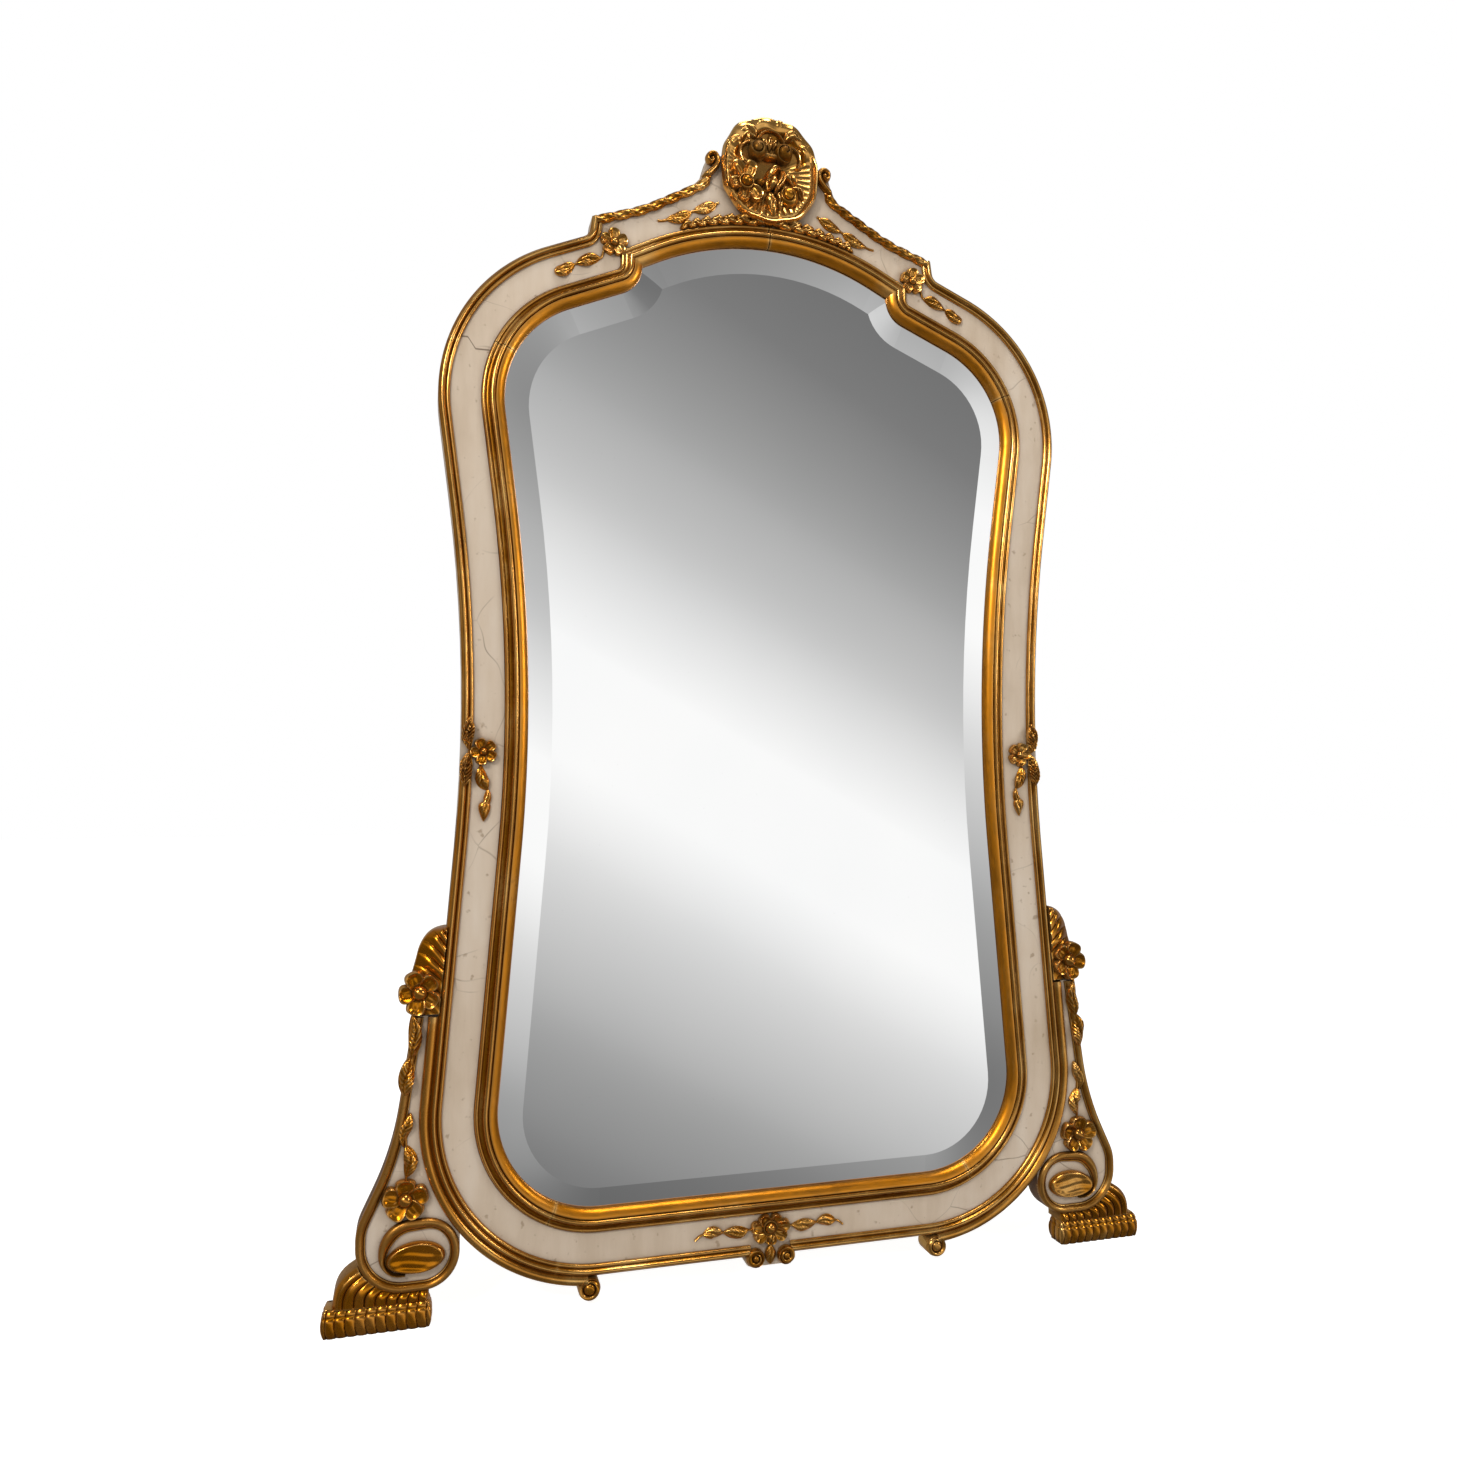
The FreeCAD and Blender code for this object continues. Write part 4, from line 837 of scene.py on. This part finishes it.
gildPair(gather([
    flower(-382, 707.5, 17.6, 0, 5, 112, 7),
    stem([(-402, 708), (-392, 707.5)], 2.6, 0, 2),
    leaf([(-385.5, 692), (-384, 672), (-376.5, 658)], 15.5, 0, 6, 1.1, 0.75, 1.25),
    leaf([(-376.5, 660), (-377, 646), (-379, 634)], 9, 0, 5, -0.9),
    leaf([(-380, 644), (-380.5, 634), (-381.5, 618.5)], 14.5, 0.3, 6, 0.3, 0.85, 0.55)]),
    "waistSpray", "waist_spray")


def bottomSide(sign):
    return [
        leaf(sided(sign, (30, 71.5), (48, 70), (66, 71.5)), 15.5, 0, 6, 0.9 * sign),
        leaf(sided(sign, (65, 71), (80, 73.5), (94, 71)), 14.5, 0, 6, -0.9 * sign),
        stem(sided(sign, (24, 71), (60, 71), (92, 71.5), (104, 64.5)), 3, 0)]


gild(gather([flower(0, 70, 28, 0, 7, -90, 7.5, (1, 0.74), 1.7, 0.30),
             boss(-1, 72.5, 10.5, 4, 9, 0.8),
             leaf([(0, 66), (0.5, 58), (0, 49)], 11, 3, 6, 0.2, 0.7)]
            + bottomSide(-1) + bottomSide(1)), "bottomSpray", "bottom_spray")
gild(gather([leaf([(0, 50), (0, 38), (0, 23)], 15, 0, 6, 0, 0.8),
             stem([(0, 52), (0, 40)], 3, 0, 3)]), "bottomTongue")
print("sprays made")

# Garland of husks over the arch, and the clasp in the middle
garland = {"offset": 34.5, "first": -0.9, "husks": 7}
husks = [boss(-2, opening["archCentre"] + opening["archRadius"] + garland["offset"], 5, 0.5, 6, 0.3)]
angle = garland["first"]
for i in range(garland["husks"]):
    size = 1.45 - 0.10 * i
    a, b, c = archLine(angle, angle - 3.0 * size, garland["offset"], 2)
    under = [(a[0], a[1] + 3), (b[0], b[1] + 1), (c[0], c[1] - 2.5)]
    over = [(a[0] + 2, a[1] - 2), (b[0] + 3, b[1] + 2.5), (c[0] + 5, c[1] + 5.5 * size)]
    husks.append(leaf(under, 10.5 * size, 0.3, 7.0 * size, 1.3, 0.6, 0.8, 0))
    husks.append(leaf(over, 7.0 * size, 1.5, 6.5 * size, -1, 0.8, 1, 0))
    angle -= 2.2 * size
gildPair(gather(husks), "crestGarland", "crest_garland")
print("garland made")

# Crest: a shell with a rolled rim, ruffled leaf over the top, and fruit and flowers inside
shell = {"centre": (0, 1519), "half": (71.5, 76), "square": 2.3, "floor": 3, "edge": 12.5,
         "rim": 3.6, "under": 0.86, "lobes": 11, "reeds": 44}


def crestShell():
    bm = discSheet(60, 360)
    cx, cz = shell["centre"]
    shadeAndHighlight = bm.verts.layers.float["shadeAndHighlight"]
    for v in bm.verts:
        r, a = polar(v)
        c, s = cos(a), sin(a)
        n = shell["square"]
        reach = (abs(c / shell["half"][0]) ** n + abs(s / shell["half"][1]) ** n) ** (-1 / n)
        up, low = smooth(0.15, 0.50, s), smooth(0.10, -0.45, s)
        lobe = 0.5 + 0.5 * cos(a * shell["lobes"] + 0.5)
        reach *= 0.988 - 0.030 * up * (1 - lobe) + 0.012 * low * sin(a * shell["lobes"])
        h = shell["floor"] + (shell["edge"] - shell["floor"]) * r ** 2.6
        reed = 0.9 * cos(a * shell["reeds"])
        h += (1 - up) * reed * smooth(0.34, 0.55, r) * (1 - smooth(0.80, 0.88, r))
        roll = sqrt(max(0, 1 - ((r - 0.958) / 0.038) ** 2))
        h += (1 - up) * (shell["rim"] * roll - 2.2 * ridge(r, 0.90, 0.022))
        # Ruffled leaf over the top
        h += up * (6.0 * smooth(0.70, 0.78, r) - 5.0 * smooth(0.84, 1, r)) * (0.55 + 0.45 * lobe)
        h *= 1 - 0.40 * smooth(0.97, 1, r)
        # Painted highlight over the shell, with painted shade under the ruffled leaf
        v[shadeAndHighlight] = -0.22 + 0.3 * up * smooth(0.60, 0.70, r) * (1 - smooth(0.72, 0.80, r))
        v.co = at(cx + reach * r * c, cz + reach * r * s, h)
    closeBack(bm, 0)
    for v in bm.verts:
        if v.co.y > flatY - 0.01:  # the sides are undercut
            v.co.x = cx + (v.co.x - cx) * shell["under"]
            v.co.z = cz + (v.co.z - cz) * shell["under"]
    return bm


def snail(x, z, radius, base, height, hand, shadeAndHighlight=0.80):
    # Ball with a winding groove; its mark paints a dark reflection over the ball
    bm = setShadeAndHighlight(discSheet(34, 84), "shadeAndHighlight", shadeAndHighlight)
    for v in bm.verts:
        r, a = polar(v)
        phase = (r * 1.5 - hand * a / tau) % 1.0
        h = height * (0.30 + 0.70 * sqrt(max(0, 1 - 0.97 * r * r)))
        h -= 0.16 * height * ridge(phase, 0.5, 0.13) * smooth(0.16, 0.34, r)
        v.co = onDisc(x, z, radius * r, a, base + h)
    return closeBack(bm, base - 1)


def withPaintedHighlight(pieces):
    # Painted highlight: these pieces read paler
    return [setShadeAndHighlight(piece, "shadeAndHighlight", -0.16) for piece in pieces]


def crestScroll(sign):
    # Dark balls from a painted dark reflection; the stem and leaves carry a painted highlight
    return [snail(sign * 19, 1544, 13, 3, 22, sign)] + withPaintedHighlight([
        stem(sided(sign, (30, 1556), (40, 1550), (43.5, 1538), (40, 1526)), 6.5, 4, 9),
        leaf(sided(sign, (40, 1562), (52, 1556), (60, 1538)), 14, 7, 8, 0.9 * sign, 0.7, 0.8, 0),
        leaf(sided(sign, (20, 1563), (34, 1573), (50, 1566)), 15, 6, 11, -0.9 * sign, 0.7, 0.8, 0),
        leaf(sided(sign, (5, 1550), (7.5, 1559), (13, 1566)), 8, 3, 9, 0.3, 0.8, 1, 0)])


def crestRuffle():
    # Curled lobes round the top of the shell
    lobes = []
    for k, angle in enumerate((36, 60, 82, 104, 127, 150)):
        c, s = cos(radians(angle)), sin(radians(angle))
        cx, cz = shell["centre"]
        spine = [(cx + r * c * shell["half"][0] + shift * s, cz + r * s * shell["half"][1] - shift * c)
                 for r, shift in ((0.70, 0), (0.84, 2.5), (0.965, -1.5))]
        lobes.append(leaf(spine, 19, 6.5, 7.5, 0.5 if k % 2 else -0.5, 0.45, 1.6, 0))
    # Painted highlight on the lobes
    return withPaintedHighlight(lobes)


gild(crestShell(), "crestShell", "crest_shell", angle=60)
bar = [(-17, 1541), (-6, 1538.5), (6, 1538.5), (17, 1541)]
bow = [(-20, 1560), (-11, 1571), (0, 1574.5), (11, 1571), (20, 1560)]
# The bar between the balls carries a painted shadow
gild(gather(crestScroll(-1) + crestScroll(1) + [
    setShadeAndHighlight(stem(bar, 9, 3, 12), "shadeAndHighlight", 0.40),
    stem(bow, 4.5, 5, 9),
    leaf([(0, 1547), (0, 1559), (0, 1573)], 9, 3, 9.5, 0, 0.8, 1, 0)] + crestRuffle()),
    "crestScrolls", "crest_scrolls")
bloom = {"place": (-35, 1498),
         "petals": [(124, 32, 25), (73, 30, 25), (196, 26, 24), (259, 30, 24), (309, 32, 27)]}
bloomPetals = [petal(*bloom["place"], angle, length, width, 4.5, 12, 0.10)
               for angle, length, width in bloom["petals"]]
# The two bosses and the right ball are painted darker with painted shade; the petals and leaves carry a
# painted highlight
gild(gather(withPaintedHighlight(bloomPetals) + [
    setShadeAndHighlight(boss(*bloom["place"], 11.5, 8, 12.5, 1.1), "shadeAndHighlight", 0.2),
    setShadeAndHighlight(boss(-14.5, 1500, 8, 4, 11, 0.2), "shadeAndHighlight", 0.4),
    snail(27, 1484.5, 14.5, 3, 17, -1, 0.25)] + withPaintedHighlight([
    leaf([(28, 1499), (40, 1497), (48, 1483)], 10, 5, 11, 0.9, 0.7, 1, 0),
    leaf([(-4, 1488), (2, 1509), (16, 1526)], 20, 4, 15, 1.3, 0.7, 0.9, 0),
    leaf([(6, 1486), (15, 1503), (16, 1522)], 11, 7, 12, -1.2, 0.7, 0.9, 0),
    leaf([(18, 1519), (29, 1513), (38, 1501)], 15, 4, 11, 0.9, 0.7, 1, 0),
    leaf([(-1, 1489), (2, 1474), (5.5, 1453)], 18, 4, 12, 0.3, 0.75, 0.75, 0),
    leaf([(7, 1490), (15, 1480), (15, 1463)], 10, 4, 10, -0.9, 0.7, 1, 0)])),
    "crestFlowers", "crest_flowers")
print("crest made")

# Strap outside the lower corner, ending in a small volute
strapSection = [(-0.8, 1), (0.3, 2.6), (1.8, 4.2), (3.6, 5.3), (6.2, 5.7), (8.8, 5.3), (10.8, 4),
                (11.9, 2.2), (12.3, 0), (12.3, -6)]
strapStart = runAt(outerRun, lambda p: p[1] < 378)
strapEnd = runAt(outerRun, lambda p: p[0] > -246 and p[1] < 300)
strapRun = cutRun(outerRun, strapStart, strapEnd)
gildPair(gather([sweep(strapRun, strapSection, 25.5),
                 volute(-243, 20.5, 14.4, -2, 10, 1.35, -1, 1.9, 23.5, 0.52)]),
         "baseScroll", "base_scroll")
print("base scroll made")

# Console: rim winding in to the eye, flowers, leaves and the carved head
console = {"eye": (-456, 85), "eyeHalf": (33.5, 19)}
rimLine = roundedRun([(-463.5, 378, 0), (-488, 212, 350), (-529, 124, 60), (-529, 44, 58), (-405, 44, 44),
                      (-405, 131, 42), (-502, 131, 38), (-502, 64, 26), (-470, 64, 0)], 2.5)
rimSection = [(-12, -0.3), (-12, 1.4), (-11.5, 2.4), (-10.6, 2.7), (-9.8, 2.2), (-9.4, 2.6), (-8.4, 4.4),
              (-6.8, 5.8), (-4.8, 6.6), (-2.8, 6.2), (-1.2, 4.8), (-0.3, 3), (0, 1), (0, -3)]


def rimTaper(t, s, d, h):
    grow = 1 + 0.30 * smooth(0.76, 0.86, t) - 1.05 * smooth(0.88, 0.99, t)
    return d * grow, h * (1 + 0.12 * smooth(0.80, 0.94, t)) if h > 0 else h


def consoleEye():
    bm = discSheet(26, 96)
    cx, cz = console["eye"]
    halfX, halfZ = console["eyeHalf"]
    for v in bm.verts:
        r, a = polar(v)
        x, z = r * cos(a), r * sin(a)
        h = 6.6 + 1.5 * smooth(0.55, 0.86, r) - 5.0 * smooth(0.90, 1, r)
        h += 0.32 * sin(z * 12 + 1.6 * x + sin(3 * x)) * (1 - smooth(0.75, 0.9, r))
        point = 1 + 0.12 * smooth(0, -1, x)
        sag = 3.0 * x * x * (1 if x < 0 else 0)
        v.co = at(cx + halfX * x * point, cz + halfZ * z - sag, h)
    return closeBack(bm, -0.3)


# Painted shade darkens the whole rim
rim = setShadeAndHighlight(sweep(rimLine, rimSection, 3, vary=rimTaper), "shadeAndHighlight", 0.42)
gildPair(gather([rim, consoleEye()]), "consoleRim", "console_rim")
gildPair(gather([
    flower(-457, 407.5, 27, 2.5, 5, 112, 9.5, (0.95, 1.05), 1.75, 0.50),
    flower(-471, 155, 27.5, 0, 5, 18, 8, (1.04, 0.93), 1.8, 0.46),
    leaf([(-471, 182), (-465, 202), (-471.5, 222)], 16, 0.3, 7, 1.2, 0.8),
    leaf([(-474, 219), (-474, 238), (-465.5, 260)], 16.5, 0.3, 7, -1.1, 0.8, 1.3),
    leaf([(-473.5, 282), (-471.5, 305), (-466.5, 331)], 18.5, 3, 9, 1.2, 0.7, 0.9),
    leaf([(-467, 325), (-461.5, 350), (-465, 382)], 16, 3, 9, -1.2, 0.7),
    stem([(-470.5, 176), (-470, 200), (-472, 240)], 3.4, 0)]),
    "consoleSpray", "console_spray")

head = {"outline": [(-428, 487), (-438, 484.5), (-447, 479), (-454, 470), (-459, 459), (-462, 447),
                    (-465, 436), (-468, 424), (-470, 410), (-470, 395), (-464, 379.5)], "ribs": 8}


def edgeAt(z):
    # Where the frame's outer edge runs at a height of the side
    side = [p for p in outerRun if p[0] < -390]
    for a, b in zip(side, side[1:]):
        if b[1] <= z <= a[1]:
            return a[0] + (b[0] - a[0]) * (z - a[1]) / (b[1] - a[1])
    raise ValueError("no edge at this height")


def consoleHead():
    # Leaf that climbs the frame's edge: ribs rise from its outer line to the frame
    outline = evenRun(curve(head["outline"], 12), 0.9)
    n = len(outline)
    bm = stripSheet(36, n - 1)
    for v in bm.verts:
        s, t = v.co.x + 0.5, v.co.y + 0.5
        j = min(n - 1, round(t * (n - 1)))
        x, z = outline[j]
        px = x + (max(edgeAt(z) + 0.6, x + 0.5) - x) * s
        rib = abs(sin(pi * head["ribs"] * (t - 0.02 * s - 0.16 * s * s)))
        swell = sin(pi * min(1, s * 0.62 + 0.10))
        h = 1.0 + (7.5 * swell + 2.5 * s) * (0.55 + 0.45 * rib ** 0.6) * (0.35 + 0.65 * smooth(0, 0.12, t))
        h *= 1 - 0.55 * smooth(0.50, 0.72, t)
        h -= 9.0 * (1 - s) ** 1.5
        v.co = at(px, z, h)
    return closeBack(bm, -24)


gildPair(consoleHead(), "consoleLeaf", "console_leaf")
print("console made")

# Feet: gadrooned block under the console, on a pad of beads and reeds
foot = {"padLeft": -568, "padRight": -437, "front": 8, "height": 33, "beads": 11, "lobes": 9,
        "corner": 7, "back": -26, "heelInset": 16, "wall": -44}


def footPad():
    left, right, corner = foot["padLeft"] + 0.2, foot["padRight"] - 0.2, foot["corner"]
    front, back = foot["front"], foot["back"]
    turns = [i * pi / 12 for i in range(7)]
    plan = [(left, back), (left, front - corner)]
    plan += [(left + corner - corner * cos(turn), front - corner + corner * sin(turn))
             for turn in turns[1:]]
    plan += [(right - corner + corner * sin(turn), front - corner + corner * cos(turn))
             for turn in turns]
    plan += [(right, back)]
    line = evenRun(plan, 0.8)
    run = lengths(line)
    n = len(line)
    bm = stripSheet(34, n - 1)
    along, shadeAndHighlight = marks(bm, "along", "shadeAndHighlight")
    pitch = (right - left) / foot["beads"]
    for v in bm.verts:
        s, t = v.co.x + 0.5, v.co.y + 0.5
        j = min(n - 1, round(t * (n - 1)))
        a = heading(line, j)
        z = foot["height"] * min(1, s / 0.80)
        cap = smooth(0.80, 1, s)
        phase = (run[j] - run[-1] / 2) / pitch + 0.25 * sin(pi * z / foot["height"]) - 0.12
        lobe = sqrt(max(0, 1 - (2 * (phase % 1) - 1) ** 2))
        # Bolster section with a shallow neck under the top bead
        bulge = sqrt(max(0, 1 - ((z - 15) / 19) ** 2)) - 0.12 * ridge(z, 24.5, 1.8)
        inset = max(0, 9.0 * (1 - bulge) + 3.0 * (1 - lobe)) + 18.0 * cap
        x, y = line[j][0] + a[1] * inset, line[j][1] - a[0] * inset
        v.co = at(x, z, max(y, back))
        v[along] = run[j]
        # Painted shade in the grooves and low down by the floor
        v[shadeAndHighlight] = 0.5 * (1 - lobe) ** 1.4 + 0.22 * (1 - smooth(4, 14, z)) - 0.06
    return closeBack(bm, back)


def footBox(inset, front, back, low, high):
    bm = stripSheet(1, 1)
    bmesh.ops.delete(bm, geom=bm.verts[:], context="VERTS")
    bmesh.ops.create_cube(bm, size=1.0)
    left, right = foot["padLeft"] + inset, foot["padRight"] - inset
    bmesh.ops.scale(bm, vec=(right - left, front - back, high - low), verts=bm.verts)
    bmesh.ops.translate(bm, vec=at((left + right) / 2, (low + high) / 2, (front + back) / 2), verts=bm.verts)
    bmesh.ops.bevel(bm, geom=bm.edges[:], offset=1.2, segments=2, profile=0.5, affect="EDGES", material=-1)
    return bm


def footBlock():
    # Lobes fan out from under the volute to the pad
    top = [(-526, 79), (-519, 68), (-508.5, 58), (-495, 50), (-479, 45), (-463, 44.2), (-441.5, 44.2)]
    low = [(-555, 33), (-537, 32), (-518, 32), (-499, 32), (-480, 32), (-461, 32), (-441.5, 32)]
    topLine, lowLine = evenRun(curve(top), 0.7), evenRun(curve(low), 0.7)
    bm = stripSheet(30, 150)
    shadeAndHighlight = bm.verts.layers.float["shadeAndHighlight"]
    for v in bm.verts:
        s, t = v.co.x + 0.5, v.co.y + 0.5
        a, b = pick(topLine, t), pick(lowLine, t)
        lobe = sqrt(max(0, 1 - (2 * ((t * foot["lobes"]) % 1) - 1) ** 2))
        bow = sin(pi * s) * (10.0 * (1 - t) ** 1.5)
        x = b[0] + (a[0] - b[0]) * s - bow * 0.75
        z = b[1] + (a[1] - b[1]) * s + bow * 0.55
        full = sin(pi * (0.22 + 0.70 * s)) ** 0.8
        h = 0.5 + 6.5 * full + (1.4 + 3.6 * full) * (lobe - 1)
        h -= 4.0 * (1 - smooth(0, 0.06, t)) + 3.0 * smooth(0.96, 1, t)
        # Painted shade in the grooves between the lobes
        v[shadeAndHighlight] = 0.6 * (1 - lobe) ** 1.4 - 0.08
        v.co = at(max(-567, x), z, h)
    return closeBack(bm, -32)


core = footBox(5, foot["front"] - 8, foot["back"] + 3, 2, foot["height"] + 0.3)
gildPair(gather([footPad(), core, footBlock()]), "foot", "foot")
heel = footBox(foot["heelInset"], foot["back"], foot["wall"], 0, foot["height"])
finishPair(heel, "footHeel", beech)
print("feet made")

# Studio: pale floor, soft lights, and a grey sky with a bright band behind the camera for the glass
studio = {"floor": 12, "key": 62, "fill": 18, "top": 22, "tint": (1, 0.97, 0.92),
          "white": (1, 1, 1), "behind": (0.35, 0.35, 0.35), "diffuse": (0.30, 0.295, 0.285),
          "sky": [(0.30, 0.14), (0.37, 0.25), (0.43, 0.45), (0.50, 0.77), (0.56, 1.06), (0.60, 0.98),
                  (0.66, 0.65), (0.72, 0.41), (0.80, 0.21), (1, 0.16)]}
bm = bmesh.new()
bmesh.ops.create_grid(bm, x_segments=12, y_segments=12, size=studio["floor"])
floorMesh = bpy.data.meshes.new("studioFloor")
bm.to_mesh(floorMesh)
bm.free()
floor = newObject("studioFloor", floorMesh)
floor.visible_glossy = False
m = Nodes("paleFloor")
eye = m.new("LightPath").outputs["Is Camera Ray"]
floorTone = m.ramp(m.noise(2), [(0.3, (0.90, 0.90, 0.90)), (0.7, (0.93, 0.93, 0.93))])
floorMesh.materials.append(m.set(
    Base_Color=floorTone, Roughness=0.9, Specular_IOR_Level=0.0,
    Emission_Color=studio["white"], Emission_Strength=m.times(eye, 0.80)))


class SkyNodes(Nodes):
    def __init__(self, name):
        self.owner = bpy.data.worlds.new(name)
        self.owner.use_nodes = True
        self.tree = self.owner.node_tree
        self.shader = self.tree.nodes["Background"]
        self.place = self.new("TexCoord").outputs["Generated"]


sky = SkyNodes("studioSky")
x, y, z = [sky.split(sky.place, axis) for axis in range(3)]
rise = sky.plus(z, sky.times(x, 0.55))
ahead = sky.calculate("MAXIMUM", sky.times(y, -1), 0.08)
level = sky.plus(sky.times(sky.calculate("DIVIDE", rise, ahead), 0.5), 0.5)
glow = sky.ramp(level, [(place, (value, value, value)) for place, value in studio["sky"]], "CARDINAL")
front = sky.mix(sky.grey(y, -0.10, 0.25), glow, studio["behind"])
ray = sky.new("LightPath").outputs
soft = sky.mix(ray["Is Diffuse Ray"], front, studio["diffuse"])
shown = sky.mix(ray["Is Camera Ray"], soft, studio["white"])
bpy.context.scene.world = sky.set(Color=shown, Strength=1.0)


def softLight(name, place, target, size, power):
    data = bpy.data.lights.new(name, "AREA")
    data.shape = "RECTANGLE"
    data.size, data.size_y = size
    data.energy = power
    data.color = studio["tint"]
    lamp = newObject(name, data)
    lamp.location = place
    lamp.rotation_euler = (Vector(target) - Vector(place)).to_track_quat("-Z", "Y").to_euler()


softLight("keyLight", (-2.2, -2.4, 2.6), (0, 0, 0.9), (0.8, 0.6), studio["key"])
softLight("fillLight", (2.4, -1.6, 1.4), (0, 0, 0.7), (0.6, 0.9), studio["fill"])
softLight("topLight", (0.2, -0.6, 3.2), (0, 0, 0.8), (1, 0.5), studio["top"])

view = {"place": (-0.4581, flatY / 1000 - 1.4363, 0.6746), "yaw": 15.574, "pitch": 2.54,
        "sensor": 36, "focalPixels": 1101, "framePixels": 1457}
cameraData = bpy.data.cameras.new("photoCamera")
cameraData.sensor_width = view["sensor"]
cameraData.lens = view["sensor"] * view["focalPixels"] / view["framePixels"]
cameraData.clip_start = 0.01
camera = newObject("photoCamera", cameraData)
camera.location = view["place"]
camera.rotation_euler = (radians(90 + view["pitch"]), 0, radians(-view["yaw"]))
bpy.context.scene.camera = camera
bpy.context.scene.view_settings.view_transform = "Standard"
print("studio made;", len(made), "carved pieces")
